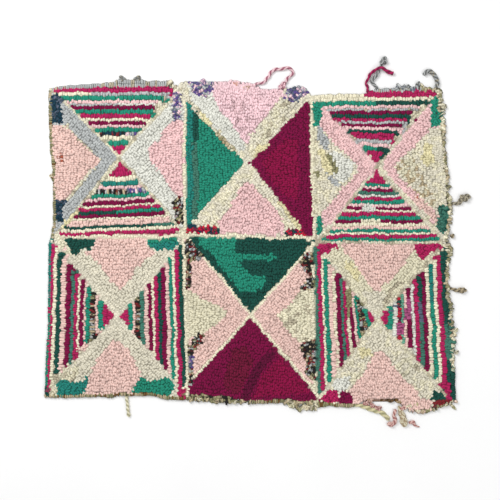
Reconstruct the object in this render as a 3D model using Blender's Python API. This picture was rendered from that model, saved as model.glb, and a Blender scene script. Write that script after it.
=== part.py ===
"""Hooked rag rug: jute ground cloth, loop pile in six blocks, whipped rims and loose rag ends."""

import math

import bmesh
import bpy
from mathutils import Vector

MM = 0.001

# Heights and gaps, in metres
GROUND_THICKNESS = 0.0015
PILE_HEIGHT = 0.0100
PILE_RIM_HEIGHT = 0.0065
GROOVE_DEPTH = 0.0028
GROOVE_HALF_WIDTH = 0.0140
LUMP_HEIGHT = 0.0007
WHIPPING_HEIGHT = 0.0090
PART_GAP = 0.0003
RIM_GAP = 0.0004
GROUND_INSET = 0.0012
TORN_JUTE_REACH = 0.0150

# Moves the drawing so that the middle of the rug's reach, long loose ends left out, is the origin
DRAWING_SHIFT = Vector((-0.0225, 0.0208, 0.0))

# Mesh steps
RIM_STEPS = 22
BORDER_STEPS = 8
RADIAL_STEPS = 5
CORD_SIDES_RESOLUTION = 2
CORD_STEP = 9.0
START_RUN = 4.0
SEAT_SHARE = 0.9

# Corners where block borders meet, mm: a row for each line across, top line first
BLOCK_CORNERS = (
    ((-594, 465), (-192, 492), (183, 452), (564, 462)),
    ((-589, 27), (-190, 28), (198, 18), (579, 12)),
    ((-607, -446), (-192, -452), (204, -468), (606, -462)),
)
BLOCK_CENTRES = (
    ((-390, 267), (-6, 249), (380, 234)),
    ((-396, -210), (3, -210), (381, -216)),
)

# Each rim, mm: along the side, the pile's edge there, and the width of the whipping outside it
TOP_RIM = (
    (-594, 465, 8), (-570, 470, 10), (-480, 473, 13), (-420, 475, 16), (-396, 476, 21),
    (-381, 476, 31), (-366, 476, 20), (-352, 476, 20), (-338, 476, 31), (-324, 476, 20),
    (-240, 477, 19), (-222, 479, 8), (-204, 489, 0), (-192, 492, 0), (-105, 492, 0), (-48, 490, 0),
    (0, 486, 0), (24, 480, 0), (36, 464, 0), (84, 464, 0), (120, 468, 0), (141, 477, 0),
    (165, 471, 0), (175, 464, 0), (183, 452, 0), (255, 450, 0), (300, 453, 0), (336, 450, 0),
    (351, 460, 0), (370, 461, 0), (371, 461, 9), (420, 461, 13), (438, 461, 18), (450, 461, 31),
    (462, 461, 22), (471, 461, 22), (483, 462, 12), (497, 462, 18), (508, 463, 34), (518, 463, 14),
    (540, 463, 10), (564, 462, 10),
)
LEFT_RIM = (
    (465, -594, 10), (390, -594, 10), (288, -590, 10), (243, -584, 10), (222, -582, 10),
    (210, -581, 18), (198, -581, 10), (63, -581, 10), (27, -589, 9), (15, -596, 8),
    (-252, -598, 8), (-312, -603, 8), (-372, -606, 8), (-417, -606, 8), (-446, -607, 10),
)
RIGHT_RIM = (
    (462, 564, 8), (447, 565, 14), (430, 561, 12), (417, 561, 29), (402, 562, 22), (388, 566, 14),
    (378, 570, 20), (354, 573, 15), (318, 576, 9), (258, 582, 9), (183, 588, 9), (138, 591, 10),
    (108, 594, 12), (87, 594, 18), (72, 592, 16), (48, 585, 12), (12, 579, 17), (-10, 587, 24),
    (-42, 588, 15), (-72, 585, 12), (-111, 584, 14), (-147, 588, 13), (-171, 594, 16),
    (-207, 595, 13), (-261, 598, 23), (-297, 604, 11), (-342, 600, 13), (-372, 601, 17),
    (-396, 605, 10), (-462, 606, 12),
)
BOTTOM_RIM = (
    (-607, -446, 9), (-540, -447, 9), (-465, -443, 10), (-426, -442, 10), (-414, -441, 22),
    (-402, -440, 10), (-285, -441, 9), (-261, -449, 12), (-192, -452, 11), (-150, -453, 15),
    (-60, -459, 15), (36, -462, 12), (105, -459, 12), (123, -462, 27), (150, -465, 33),
    (180, -466, 30), (204, -468, 18), (240, -468, 12), (285, -474, 12), (324, -472, 10),
    (336, -462, 0), (360, -457, 0), (435, -457, 0), (450, -468, 14), (464, -477, 18),
    (482, -486, 11), (516, -492, 12), (540, -489, 9), (561, -480, 9), (585, -471, 8), (606, -462, 9),
)

# Whipped strips: node name, side, start and end along that side, and reach round each corner, mm
WHIPPINGS = (
    ("binding_top_left", "top", -594, -222, 8, 0),
    ("binding_top_right", "top", 371, 564, 0, 8),
    ("binding_left", "left", -446, 465, 0, 0),
    ("binding_right", "right", -462, 462, 0, 0),
    ("binding_bottom", "bottom", -607, 324, 8, 0),
    ("binding_bottom_right", "bottom", 450, 606, 0, 10),
)

# Where the ground cloth shows past the pile on the bottom rim, mm along it
TORN_BOTTOM = (345, 440)

# Long loose ends, mm: x, y, height of the centre line, and thickness as a share of the full one.
# Each starts square to the rim at a place along one side.
PINK_DIAMETER = 0.0090
PINK_ROOT = ("top", 19)
PINK_ROUTE = (
    (26, 487, 5, 0.9), (36, 488, 5, 0.9), (45, 493, 5, 1.0), (50, 502, 5, 1.0), (58, 509, 5, 1.0),
    (61, 519, 5, 1.05), (71, 526, 5, 1.05), (79, 530, 5, 1.0), (90, 529, 5, 0.95), (102, 532, 5, 1.0),
    (114, 534, 5, 1.0), (125, 528, 5, 0.95), (129, 517, 5, 0.9), (121, 509, 5, 0.9), (112, 502, 5, 1.0),
    (109, 494, 5, 1.0), (106, 489, 5.5, 1.0),
)
MAGENTA_DIAMETER = 0.0080
MAGENTA_ROOT = ("top", 352)
MAGENTA_ROUTE = (
    (352, 468, 5, 1.0), (352, 477, 4.5, 1.0), (347, 486, 4.5, 0.95), (351, 496, 4.5, 0.9),
    (356, 505, 4.5, 1.0), (359, 514, 4.6, 1.1), (366, 520, 5.5, 1.1), (374, 526, 8.8, 1.1),
    (382, 530, 13.4, 1.0), (389, 533, 15, 1.0), (397, 531, 13.6, 1.1), (404, 527, 10, 1.2),
    (412, 522, 7.2, 1.3), (421, 519, 6.2, 1.35), (429, 516, 6, 1.3),
)
GREY_DIAMETER = 0.0095
GREY_ROOT = ("top", 379)
GREY_ROUTE = (
    (374, 481, 5.2, 0.9), (366, 488, 5.2, 1.0), (366, 497, 5.2, 1.05), (372, 504, 5.2, 1.05),
    (379, 511, 5.2, 1.0), (384, 520, 5.2, 0.9), (388, 530, 5.2, 0.85), (392, 540, 5.2, 0.9),
)
CORNER_DIAMETER = 0.0120
CORNER_ROOT = ("top", 557)
CORNER_ROUTE = (
    (559, 479, 6, 0.9), (561, 487, 6.4, 0.95), (559, 497, 6.4, 1.0), (554, 508, 6.4, 1.05),
    (546, 518, 6.4, 1.05), (536, 524, 6.4, 1.05), (526, 520, 6.4, 0.95), (520, 512, 6.4, 0.8),
)

# Knots and short rag ends, mm. The root is a side, a place along it, and a width and height, or none
# where the end lies against another. Each row after it is x, y, width and height of a section.
SHORT_ENDS = {
    "knot_pink": (("top", 88, 9, 8), (
        (91, 473.5, 16, 12), (95, 478, 22, 13), (99, 481, 22, 13), (102.4, 483.1, 18, 11),
        (105.5, 488.2, 9, 8),
    )),
    "knot_grey": (None, (
        (392.3, 540.6, 8, 8), (394.5, 546.1, 16, 12), (397, 550, 24, 14), (401, 556, 25, 14),
        (404, 562, 20, 13), (406, 567, 9, 9),
    )),
    "tail_right_upper": (("right", 126, 12, 8), (
        (611, 128, 10, 8), (619, 127, 13, 9), (627, 130, 15, 10), (633, 140, 26, 14),
        (643, 146, 32, 15), (653, 147, 28, 14), (660, 146, 12, 9),
    )),
    "tail_right_lower": (("right", -127, 10, 8), (
        (610, -130, 11, 8), (620, -133, 15, 10), (630, -132, 21, 12),
        (640, -132, 20, 12), (649, -134, 9, 7),
    )),
    "tail_bottom_left": (("bottom", -369, 10, 8), (
        (-369, -460, 13, 10), (-368, -467, 8, 8), (-367, -474, 13, 10), (-366, -481, 8, 8),
        (-366, -488, 13, 10), (-365, -495, 8, 8), (-364, -502, 14, 10), (-362, -511, 9, 7),
    )),
    "tail_bottom_cream": (None, (
        (314, -477.5, 9, 8), (324, -477.5, 11, 8), (338, -480, 14, 9), (352, -485, 16, 9),
        (370, -491, 18, 10), (387, -496, 16, 9), (401, -504, 16, 9), (411, -514, 16, 9),
        (416, -522, 8, 6),
    )),
    "tail_bottom_tan": (("bottom", 447, 10, 8), (
        (448, -478, 15, 9), (449, -489, 18, 10), (453, -499, 22, 11), (457, -509, 25, 12),
        (460, -520, 27, 13), (462, -532, 25, 12), (463, -541, 14, 8),
    )),
    "tail_bottom_pink": (None, (
        (435, -489, 9, 8), (434, -496, 13, 10), (432, -503, 9, 9), (430, -510, 11, 10),
        (435, -518, 13, 10), (434, -526, 14, 11), (427, -533, 19, 12), (417, -534, 17, 11),
        (411, -533, 8, 7),
    )),
    "tail_bottom_tip": (None, (
        (476.5, -531, 9, 7), (483, -528, 12, 9), (490, -529, 14, 10), (494, -537, 9, 7),
        (502, -541, 6, 5), (508, -542, 4, 4),
    )),
    "tail_corner": (("bottom", 602, 8, 6), (
        (605, -478, 10, 7), (611, -484, 10, 7), (617, -490, 6, 5),
    )),
}

MATERIALS = {
    "jute_ground": ((0.22, 0.13, 0.05), 0.95),
    "rag_loops": ((0.62, 0.42, 0.40), 0.90),
    "rag_whipping": ((0.52, 0.47, 0.33), 0.90),
    "pink_rag": ((0.80, 0.42, 0.48), 0.90),
    "magenta_rag": ((0.45, 0.02, 0.13), 0.85),
    "grey_rag": ((0.42, 0.43, 0.45), 0.90),
    "cream_rag": ((0.62, 0.57, 0.42), 0.90),
}
END_MATERIALS = {
    "knot_pink": "pink_rag",
    "knot_grey": "grey_rag",
    "tail_bottom_pink": "pink_rag",
    "tail_bottom_tip": "pink_rag",
}


def clear_scene():
    """Remove every object that is already there."""
    for old in list(bpy.data.objects):
        bpy.data.objects.remove(old, do_unlink=True)


def make_material(name):
    """Return the named cloth material, made on first use."""
    existing = bpy.data.materials.get(name)
    if existing:
        return existing
    colour, roughness = MATERIALS[name]
    material = bpy.data.materials.new(name)
    material.use_nodes = True
    shader = material.node_tree.nodes["Principled BSDF"]
    shader.inputs["Base Color"].default_value = (*colour, 1.0)
    shader.inputs["Roughness"].default_value = roughness
    shader.inputs["Metallic"].default_value = 0.0
    return material


def add_object(name, data, material):
    """Link a new object for one sub-part and give it its material."""
    data.materials.append(make_material(material))
    part = bpy.data.objects.new(name, data)
    bpy.context.scene.collection.objects.link(part)
    return part


def add_mesh(name, bm, material):
    """Turn a closed bmesh into an object with outward normals and smooth round shading."""
    bmesh.ops.recalc_face_normals(bm, faces=bm.faces)
    mesh = bpy.data.meshes.new(name)
    bm.to_mesh(mesh)
    bm.free()
    mesh.shade_smooth()
    mesh.set_sharp_from_angle(angle=math.radians(50))
    return add_object(name, mesh, material)


def drawn(x, y, z=0.0):
    """A point of the drawing, given in mm, as a place in metres."""
    return Vector((x, y, z)) * MM + DRAWING_SHIFT


def read_rows(rows, along):
    """The columns after the first, read at a place along the rows."""
    ordered = sorted(rows)
    along = min(max(along, ordered[0][0]), ordered[-1][0])
    for low, high in zip(ordered, ordered[1:]):
        if along <= high[0]:
            share = (along - low[0]) / (high[0] - low[0])
            return tuple(a + (b - a) * share for a, b in zip(low[1:], high[1:]))
    return tuple(ordered[-1][1:])


SIDES = {
    "top": (TOP_RIM, Vector((0.0, 1.0, 0.0))),
    "left": (LEFT_RIM, Vector((-1.0, 0.0, 0.0))),
    "right": (RIGHT_RIM, Vector((1.0, 0.0, 0.0))),
    "bottom": (BOTTOM_RIM, Vector((0.0, -1.0, 0.0))),
}


def rim_point(side, along):
    """The pile's edge at a place along one side, on the drawing in mm."""
    edge = read_rows(SIDES[side][0], along)[0]
    return (along, edge) if side in ("top", "bottom") else (edge, along)


def rim_places(side):
    """The places along one side, mm, at which the pile's edge has its points."""
    axis = 0 if side in ("top", "bottom") else 1
    line = {
        "top": BLOCK_CORNERS[0],
        "bottom": BLOCK_CORNERS[-1],
        "left": tuple(row[0] for row in BLOCK_CORNERS),
        "right": tuple(row[-1] for row in BLOCK_CORNERS),
    }[side]
    places = set()
    for first, last in zip(line, line[1:]):
        for step in range(RIM_STEPS + 1):
            places.add(first[axis] + (last[axis] - first[axis]) * step / RIM_STEPS)
    return sorted(places)


def rim_stations(side):
    """For each place along a side: that place, the pile's edge, the whipping's width and its height."""
    stations = []
    for turn, along in enumerate(rim_places(side)):
        width = read_rows(SIDES[side][0], along)[1] * MM
        swell = 1.0 if turn % 2 else 0.84
        height = WHIPPING_HEIGHT * (1.0 if turn % 3 else 0.86)
        stations.append((along, drawn(*rim_point(side, along)), width * swell, height))
    return stations


def rim_seat(side, along, width):
    """The nearest place outside a rim where an end of some width can start, in metres."""
    outward = SIDES[side][1]
    stations = [
        (place, foot.dot(outward) + (reach + RIM_GAP if reach else 0.0))
        for place, foot, reach, height in rim_stations(side)
    ]
    edges = [along - width / 2, along + width / 2]
    edges += [place for place, reach in stations if edges[0] < place < edges[1]]
    furthest = max(read_rows(stations, edge)[0] for edge in edges)
    middle = drawn(*rim_point(side, along))
    return middle + outward * (furthest + RIM_GAP - middle.dot(outward))


def smooth_step(share):
    """Ease from 0 to 1."""
    share = min(max(share, 0.0), 1.0)
    return share * share * (3.0 - 2.0 * share)


def distance_to_line(point, start, end):
    """Distance on the flat from a point to a line between two others."""
    run = end - start
    share = min(max((point - start).dot(run) / run.length_squared, 0.0), 1.0)
    return (point - start - run * share).length


def pile_height(place, centre, corner_a, corner_b):
    """Height of the pile's top at a place in one panel: domed, with a groove round the panel."""
    groove = min(
        distance_to_line(place, centre, corner_a),
        distance_to_line(place, centre, corner_b),
        distance_to_line(place, corner_a, corner_b),
    )
    dome = smooth_step(groove / GROOVE_HALF_WIDTH)
    lumps = math.sin(place.x * 61.0 + 1.3) * math.sin(place.y * 53.0 + 0.7)
    crest = GROUND_THICKNESS + PILE_HEIGHT
    return crest - GROOVE_DEPTH * (1.0 - dome) + LUMP_HEIGHT * lumps


def is_inner_corner(corner):
    """Whether a corner has blocks all round it, and so lies off the rug's rim."""
    return corner in BLOCK_CORNERS[1][1:-1]


def add_panel(bm, centre, corner_a, corner_b, side):
    """One triangular panel of a block, as a grid fanned from the block's centre to its side."""
    steps = RIM_STEPS if side else BORDER_STEPS
    panel = bmesh.ops.create_grid(bm, x_segments=steps, y_segments=RADIAL_STEPS, size=0.5)
    middle = drawn(*centre)
    flat_a, flat_b = drawn(*corner_a), drawn(*corner_b)
    axis = 0 if side in ("top", "bottom") else 1
    for vertex in panel["verts"]:
        across = vertex.co.x + 0.5
        radial = math.sin((vertex.co.y + 0.5) * math.pi / 2)
        if side:
            along = corner_a[axis] + (corner_b[axis] - corner_a[axis]) * across
            edge = drawn(*rim_point(side, along))
        else:
            share = 0.5 - 0.5 * math.cos(across * math.pi)
            edge = flat_a.lerp(flat_b, share)
        place = middle.lerp(edge, radial)
        ends_at_rim = (across < 0.001 and not is_inner_corner(corner_a)) or (
            across > 0.999 and not is_inner_corner(corner_b)
        )
        if radial > 0.999 and (side or ends_at_rim):
            place.z = GROUND_THICKNESS + PILE_RIM_HEIGHT
        else:
            place.z = pile_height(place, middle, flat_a, flat_b)
        vertex.co = place


def make_loop_pile():
    """The loop pile: panels of six blocks joined into one slab on a flat underside."""
    bm = bmesh.new()
    for row, centres in enumerate(BLOCK_CENTRES):
        for column, centre in enumerate(centres):
            top_left = BLOCK_CORNERS[row][column]
            top_right = BLOCK_CORNERS[row][column + 1]
            low_left = BLOCK_CORNERS[row + 1][column]
            low_right = BLOCK_CORNERS[row + 1][column + 1]
            add_panel(bm, centre, top_left, top_right, "top" if row == 0 else None)
            add_panel(bm, centre, low_left, low_right, "bottom" if row == 1 else None)
            add_panel(bm, centre, top_left, low_left, "left" if column == 0 else None)
            add_panel(bm, centre, top_right, low_right, "right" if column == 2 else None)
    bmesh.ops.remove_doubles(bm, verts=bm.verts, dist=0.00002)
    rim = [edge for edge in bm.edges if edge.is_boundary]
    wall = bmesh.ops.extrude_edge_only(bm, edges=rim)["geom"]
    for vertex in (item for item in wall if isinstance(item, bmesh.types.BMVert)):
        vertex.co.z = GROUND_THICKNESS + PART_GAP
    underside = [edge for edge in bm.edges if edge.is_boundary]
    bmesh.ops.contextual_create(bm, geom=underside)
    return add_mesh("loop_pile", bm, "rag_loops")


def ground_outline():
    """The ground cloth's outline: just inside the pile's edge, with torn jute past it at one place."""
    outline = []
    for side, turn_back in (("top", False), ("right", True), ("bottom", True), ("left", False)):
        outward = SIDES[side][1]
        places = rim_places(side)[1:-1]
        for along in reversed(places) if turn_back else places:
            torn = side == "bottom" and TORN_BOTTOM[0] < along < TORN_BOTTOM[1]
            reach = TORN_JUTE_REACH if torn else -GROUND_INSET
            outline.append(drawn(*rim_point(side, along)) + outward * reach)
    return outline


def make_ground_cloth():
    """The jute sheet under the pile."""
    bm = bmesh.new()
    loop = [bm.verts.new(point) for point in ground_outline()]
    sheet = bmesh.ops.contextual_create(bm, geom=loop)["faces"]
    raised = bmesh.ops.extrude_face_region(bm, geom=sheet)["geom"]
    upper = [item for item in raised if isinstance(item, bmesh.types.BMVert)]
    bmesh.ops.translate(bm, verts=upper, vec=(0.0, 0.0, GROUND_THICKNESS))
    return add_mesh("ground_cloth", bm, "jute_ground")


def loft(name, rings, material):
    """Bridge closed rings of points, one after another, and close both ends."""
    bm = bmesh.new()
    loops = []
    for ring in rings:
        points = [bm.verts.new(point) for point in ring]
        pairs = zip(points, points[1:] + points[:1])
        loops.append([bm.edges.new(pair) for pair in pairs])
    for low, high in zip(loops, loops[1:]):
        bmesh.ops.bridge_loops(bm, edges=low + high)
    for end in (loops[0], loops[-1]):
        bmesh.ops.contextual_create(bm, geom=end)
    return add_mesh(name, bm, material)


# Section of a whipped rim: share of its width outwards, and share of its height
WHIPPING_SECTION = ((0.0, 0.0), (0.0, 0.7), (0.3, 1.0), (0.75, 0.9), (1.0, 0.4), (0.85, 0.0))


def make_whipping(name, side, start, end, reach_before, reach_after):
    """A rim of rag strip sewn over and over, wider and narrower by turns, beside the pile's edge."""
    outward = SIDES[side][1]
    stations = [station[1:] for station in rim_stations(side) if start <= station[0] <= end]
    foot, width, height = stations[0]
    if reach_before:
        stations.insert(0, (foot - Vector((reach_before * MM, 0.0, 0.0)), width, height))
    foot, width, height = stations[-1]
    if reach_after:
        stations.append((foot + Vector((reach_after * MM, 0.0, 0.0)), width, height))
    rings = []
    for foot, width, height in stations:
        rings.append([
            foot + outward * (RIM_GAP + width * out) + Vector((0.0, 0.0, height * up))
            for out, up in WHIPPING_SECTION
        ])
    return loft(name, rings, "rag_whipping")


def smooth_route(route, spacing):
    """Points a set way apart on a smooth curve through the rows of a route."""
    rows = [Vector(row) for row in route]
    ends = [rows[0] * 2 - rows[1]] + rows + [rows[-1] * 2 - rows[-2]]
    fine = []
    for before, first, last, after in zip(ends, ends[1:], ends[2:], ends[3:]):
        for step in range(12):
            t = step / 12
            fine.append(0.5 * (
                first * 2 + (last - before) * t
                + (before * 2 - first * 5 + last * 4 - after) * t * t
                + (first * 3 - before - last * 3 + after) * t * t * t
            ))
    fine.append(rows[-1])
    length = sum((b - a).xyz.length for a, b in zip(fine, fine[1:]))
    count = max(2, round(length / spacing))
    points, travelled, target = [fine[0]], 0.0, length / count
    for a, b in zip(fine, fine[1:]):
        travelled += (b - a).xyz.length
        if travelled >= target and len(points) < count:
            points.append(b)
            target += length / count
    return points + [fine[-1]]


def make_loose_end(name, root, route, diameter, material):
    """A long loose rag end: a tube on a smooth curve, thicker and thinner along the way."""
    side, along = root
    height, thickness = route[0][2:]
    root = (rim_seat(side, along, diameter / MM * SEAT_SHARE) - DRAWING_SHIFT) / MM
    start, straight = [
        Vector((*(root + SIDES[side][1] * run).xy, height, thickness)) for run in (0.0, START_RUN)
    ]
    curve = bpy.data.curves.new(name, "CURVE")
    curve.dimensions = "3D"
    curve.bevel_depth = diameter / 2
    curve.bevel_resolution = CORD_SIDES_RESOLUTION
    curve.render_resolution_u = 0
    curve.use_fill_caps = True
    points = [start] + smooth_route((straight, *route), CORD_STEP)
    spline = curve.splines.new("POLY")
    spline.points.add(len(points) - 1)
    for target, (x, y, z, share) in zip(spline.points, points):
        target.co = (*drawn(x, y, z), 1.0)
        target.radius = share
    return add_object(name, curve, material)


# Section of a short rag end: share of half its width, and share of its height
END_SECTION = (
    (-0.7, 0.0), (-1.0, 0.3), (-0.85, 0.7), (-0.4, 1.0),
    (0.4, 1.0), (0.85, 0.7), (1.0, 0.3), (0.7, 0.0),
)


def make_short_end(name, root, rows):
    """A knot or short rag end that lies on the floor, lofted from its sections."""
    sections = [(drawn(x, y), width * MM, height * MM) for x, y, width, height in rows]
    if root:
        side, along, width, height = root
        sections.insert(0, (rim_seat(side, along, width), width * MM, height * MM))
    rings = []
    for index, (place, width, height) in enumerate(sections):
        ahead = sections[min(index + 1, len(sections) - 1)][0]
        behind = sections[max(index - 1, 0)][0]
        run = (ahead - behind).normalized()
        if root and index == 0:
            run = SIDES[side][1]
        across = Vector((-run.y, run.x, 0.0))
        rings.append([
            place + across * (width / 2 * out) + Vector((0.0, 0.0, height * up))
            for out, up in END_SECTION
        ])
    return loft(name, rings, END_MATERIALS.get(name, "cream_rag"))


def main():
    """Build every sub-part of the rug."""
    clear_scene()
    make_ground_cloth()
    make_loop_pile()
    for row in WHIPPINGS:
        make_whipping(*row)
    make_loose_end("loose_end_pink", PINK_ROOT, PINK_ROUTE, PINK_DIAMETER, "pink_rag")
    make_loose_end("loose_end_magenta", MAGENTA_ROOT, MAGENTA_ROUTE, MAGENTA_DIAMETER, "magenta_rag")
    make_loose_end("loose_end_grey", GREY_ROOT, GREY_ROUTE, GREY_DIAMETER, "grey_rag")
    make_loose_end("loose_end_corner", CORNER_ROOT, CORNER_ROUTE, CORNER_DIAMETER, "grey_rag")
    for name, (root, rows) in SHORT_ENDS.items():
        make_short_end(name, root, rows)


main()
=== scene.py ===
import math
import random

import bmesh
import bpy
import numpy as np
from bpy.props import FloatProperty, FloatVectorProperty, PointerProperty
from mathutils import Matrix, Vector, noise
from mathutils.bvhtree import BVHTree
from mathutils.kdtree import KDTree


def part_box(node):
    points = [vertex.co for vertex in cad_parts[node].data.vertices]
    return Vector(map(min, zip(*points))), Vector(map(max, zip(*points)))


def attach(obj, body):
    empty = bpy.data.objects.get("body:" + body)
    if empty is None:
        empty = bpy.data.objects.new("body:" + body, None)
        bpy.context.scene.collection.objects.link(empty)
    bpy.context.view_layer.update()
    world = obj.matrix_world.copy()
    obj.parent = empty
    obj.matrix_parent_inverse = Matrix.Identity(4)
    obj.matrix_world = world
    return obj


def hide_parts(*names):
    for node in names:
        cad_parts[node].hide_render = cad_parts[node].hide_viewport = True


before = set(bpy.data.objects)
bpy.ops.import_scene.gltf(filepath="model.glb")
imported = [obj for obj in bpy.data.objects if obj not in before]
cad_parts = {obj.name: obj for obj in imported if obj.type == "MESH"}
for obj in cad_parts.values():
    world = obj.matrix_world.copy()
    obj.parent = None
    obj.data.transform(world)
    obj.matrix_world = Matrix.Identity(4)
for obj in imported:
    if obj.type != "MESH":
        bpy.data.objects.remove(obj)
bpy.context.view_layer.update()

bl_info = {
    "name": "Hooked rag rug",
    "version": (1, 0, 0),
    "blender": (4, 5, 0),
    "location": "View3D > Sidebar > Rag Rug",
    "description": "Loops, whipped rims, jute and loose rag ends of a hooked rug",
    "category": "Object",
}

MM = 0.001

# The pattern is kept as a chart of 3 mm squares, counted right and down from its top left corner
SQUARE = 3.0 * MM
CHART_SIDE = 500
CHART_MIDDLE = (257.5, 252.93)
SIDES = ("top", "bottom", "left", "right")

# Rows of hooking, in squares: widths of a row in an outline, in a plain panel and at most in a
# stripe, the gap left at a stripe's ends, and how far rows run on past the rim and past an outline
OUTLINE_ROW = 2.6
FILL_ROW = 2.75
WIDEST_STRIPE_ROW = 5.6
STRIPE_END_GAP = 1.5
RIM_OVERRUN = 20.0
INNER_OVERRUN = 9.0

# Usual turn of a loop out of its row, in radians
STRIPE_STRAY = 0.15
OUTLINE_STRAY = 0.24
FILL_STRAY = 0.45

# Share of a loop's place that may be taken when it is hooked, in a row and in a gap between rows
ROW_CROWD = 0.55
GAP_CROWD = 0.3

# How far from a gap the loop that gives it its rag may be, in squares
GAP_REACH = 3.0

# A worn rag's colour keeps on for about this many squares
RAG_RUN = 5.0

# Height of each ring of a loop's hump, and its width as a share of the ring below
LOOP_SWELL = ((0.72, 0.84), (1.0, 0.45))

# Heights of the hump and its painted shading: painted shade where loops meet, painted highlight on the
# crown
LOOP_PAINTED_SHADING = ((0.0, 0.72, 1.0), (0.5, 0.58, 1.16))

# Share of a loop's corners that show the second shade of its rag
SECOND_SHADE = 0.4

# Loops press into each other: their sizes as shares of their places across and along the row
LOOP_ACROSS = 1.34
LOOP_ALONG = 1.55

# Usual differences of hand hooking: in place, across the row, in height, lean and size
PLACE_STRAY = 0.9 * MM
ROW_SLIP = 1.2 * MM
HEIGHT_STRAY = 0.6 * MM
LEAN_STRAY = 0.7 * MM
GROWTH_STRAY = 0.10

# Heights above the floor: foot of a loop, lowest top that counts as pile, and lowest and usual top
# of the loops
LOOP_FOOT = 0.9 * MM
PILE_FROM = 4.0 * MM
LOWEST_TOP = 7.0 * MM
USUAL_TOP = 9.0 * MM

# Grid, bottom and top of the loops' packed roots and of the jute, and the painted shade of the roots:
# how much darker than their loops they are drawn, as shade falls between the loops
ROOTS = (7.0 * MM, 1.6 * MM, 7.7 * MM)
JUTE = (8.0 * MM, 0.2 * MM, 1.4 * MM)
ROOTS_PAINTED_SHADE = 0.66

# The cloth is bare jute this far from any loop
TORN_REACH = 8.0 * MM

# Whipped rims: height at which their width is read, narrowest and widest whipping, its grip on the
# pile, the longest turn of rag, and the top of a turn and its drop inwards
RIM_HEIGHT = 3.0 * MM
NARROW_RIM = 5.0 * MM
USUAL_RIM = 9.0 * MM
WIDE_RIM = 40.0 * MM
RIM_GRIP = 3.5 * MM
LONGEST_TURN = 15.0 * MM
TURN_TOP = 9.3 * MM
TURN_DROP = 1.2 * MM

# Reach of a trefoil curve from its middle
TREFOIL_REACH = 2.7

# Length of one band of a wave texture at scale 1
WAVE_BAND = math.tau / 20.0

# Colours of the rags
RAGS = {
    "pink": "#EFCCD1",
    "peach": "#E8C6BC",
    "rose": "#ECC5C4",
    "dusty_pink": "#D6B4B8",
    "cream": "#EAE3C8",
    "linen": "#DCD6C2",
    "yellow_cream": "#E0D7AC",
    "olive_cream": "#DCD6BB",
    "white": "#DCDCD2",
    "grey": "#B3B6B5",
    "tan": "#B9A98A",
    "dusty_tan": "#B7AE97",
    "olive": "#8D8A66",
    "green": "#248A72",
    "pale_green": "#6BA58C",
    "teal": "#237F74",
    "dark_green": "#174C42",
    "grey_green": "#427767",
    "slate": "#5A6475",
    "magenta": "#AE2159",
    "raspberry": "#890B41",
    "mauve": "#A8527E",
    "burgundy": "#79083F",
    "dark_burgundy": "#5E0A33",
    "wine": "#6E1234",
    "navy": "#173848",
    "purple": "#5C4A85",
    "red": "#C41E3A",
    "brick": "#7C2429",
    "rust": "#A2543F",
    "black": "#23201F",
    "brown": "#7A5A34",
}

# Printed, mixed and worn rags: the plain colours that their loops show by turns
MIXES = {
    "worn_pink": ("pink", "pink", "dusty_pink", "dusty_pink"),
    "mottled": ("linen", "linen", "linen", "cream", "olive_cream"),
    "soiled": ("linen", "olive_cream", "olive_cream", "dusty_tan"),
    "warm_cream": ("cream", "cream", "olive_cream", "peach"),
    "stained": ("peach", "rust"),
    "black_print": ("black", "black", "black", "brick", "tan", "olive", "black", "grey"),
    "navy_print": ("navy", "navy", "black", "brick"),
    "navy_knit": ("navy", "navy", "navy", "slate"),
    "purple_print": ("purple", "purple", "slate", "pink", "grey"),
    "red_print": ("red", "red", "burgundy", "navy", "dark_green"),
    "grey_print": ("grey", "grey", "slate", "soiled_grey"),
    "soiled_grey": ("grey", "grey", "grey", "dusty_tan"),
    "drab": ("dusty_tan", "olive_cream", "linen"),
    "tan_streaks": ("olive_cream", "tan", "linen"),
    "yellow_streaks": ("olive_cream", "cream", "olive_cream", "dusty_tan"),
    "worn_olive": ("olive", "tan", "olive_cream"),
    "green_wear": ("dark_green", "grey_green", "grey_green"),
    "frill": ("cream", "tan", "olive", "olive", "dusty_tan"),
    "whipping": ("tan", "olive", "tan", "olive", "brown", "olive"),
    "fray": ("tan", "olive", "olive", "black"),
    "green_frill": ("olive_cream", "cream", "grey_green", "tan"),
    "pink_frill": ("peach", "cream", "tan"),
}

# Mixes whose colours keep on for a few loops
WORN = (
    "worn_pink", "mottled", "soiled", "warm_cream", "drab", "tan_streaks", "yellow_streaks",
    "soiled_grey", "whipping",
)

# Stripes of each striped panel, from the outer side inwards: width in squares and rag. A share
# followed by a second rag says where along the row the rag changes.
TOP_LEFT_UPPER_STRIPES = (
    (4, "magenta"), (3.3, "cream", 0.3, "grey"), (4.7, "green"), (3.2, "rose"),
    (2.2, "grey", 0.55, "white"), (4, "burgundy"), (4.4, "green"), (4.4, "magenta"), (2.8, "cream"),
    (4.3, "burgundy"), (2.8, "rose"), (4, "green"), (3.8, "navy_print", 0.7, "purple_print"),
    (4, "cream"), (5, "green"), (9, "magenta"),
)
TOP_LEFT_LOWER_STRIPES = (
    (3.4, "magenta"), (3.3, "cream"), (2.8, "dark_green", 0.8, "grey_green"), (6, "peach"),
    (1.9, "cream"), (3.6, "burgundy"), (3.5, "dark_green", 0.45, "green"), (3, "magenta"),
    (2, "cream"), (4.2, "burgundy"), (2.6, "rose"), (3.7, "green"),
    (5, "black_print", 0.6, "purple_print"), (3.1, "rose"), (4.5, "teal"), (4.8, "cream"),
    (15, "magenta"),
)
TOP_RIGHT_UPPER_STRIPES = (
    (3.4, "cream"), (4.4, "green", 0.55, "dark_green"), (3, "rose"), (2.3, "soiled_grey"),
    (3.7, "burgundy"), (3.9, "dark_green"), (3, "magenta"), (2.7, "grey"), (3.2, "burgundy"),
    (3, "rose"), (3, "dark_green"), (6.2, "magenta"), (3.3, "grey"), (3.4, "rose"),
    (4.3, "green", 0.6, "dark_green"), (15, "magenta"),
)
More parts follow.
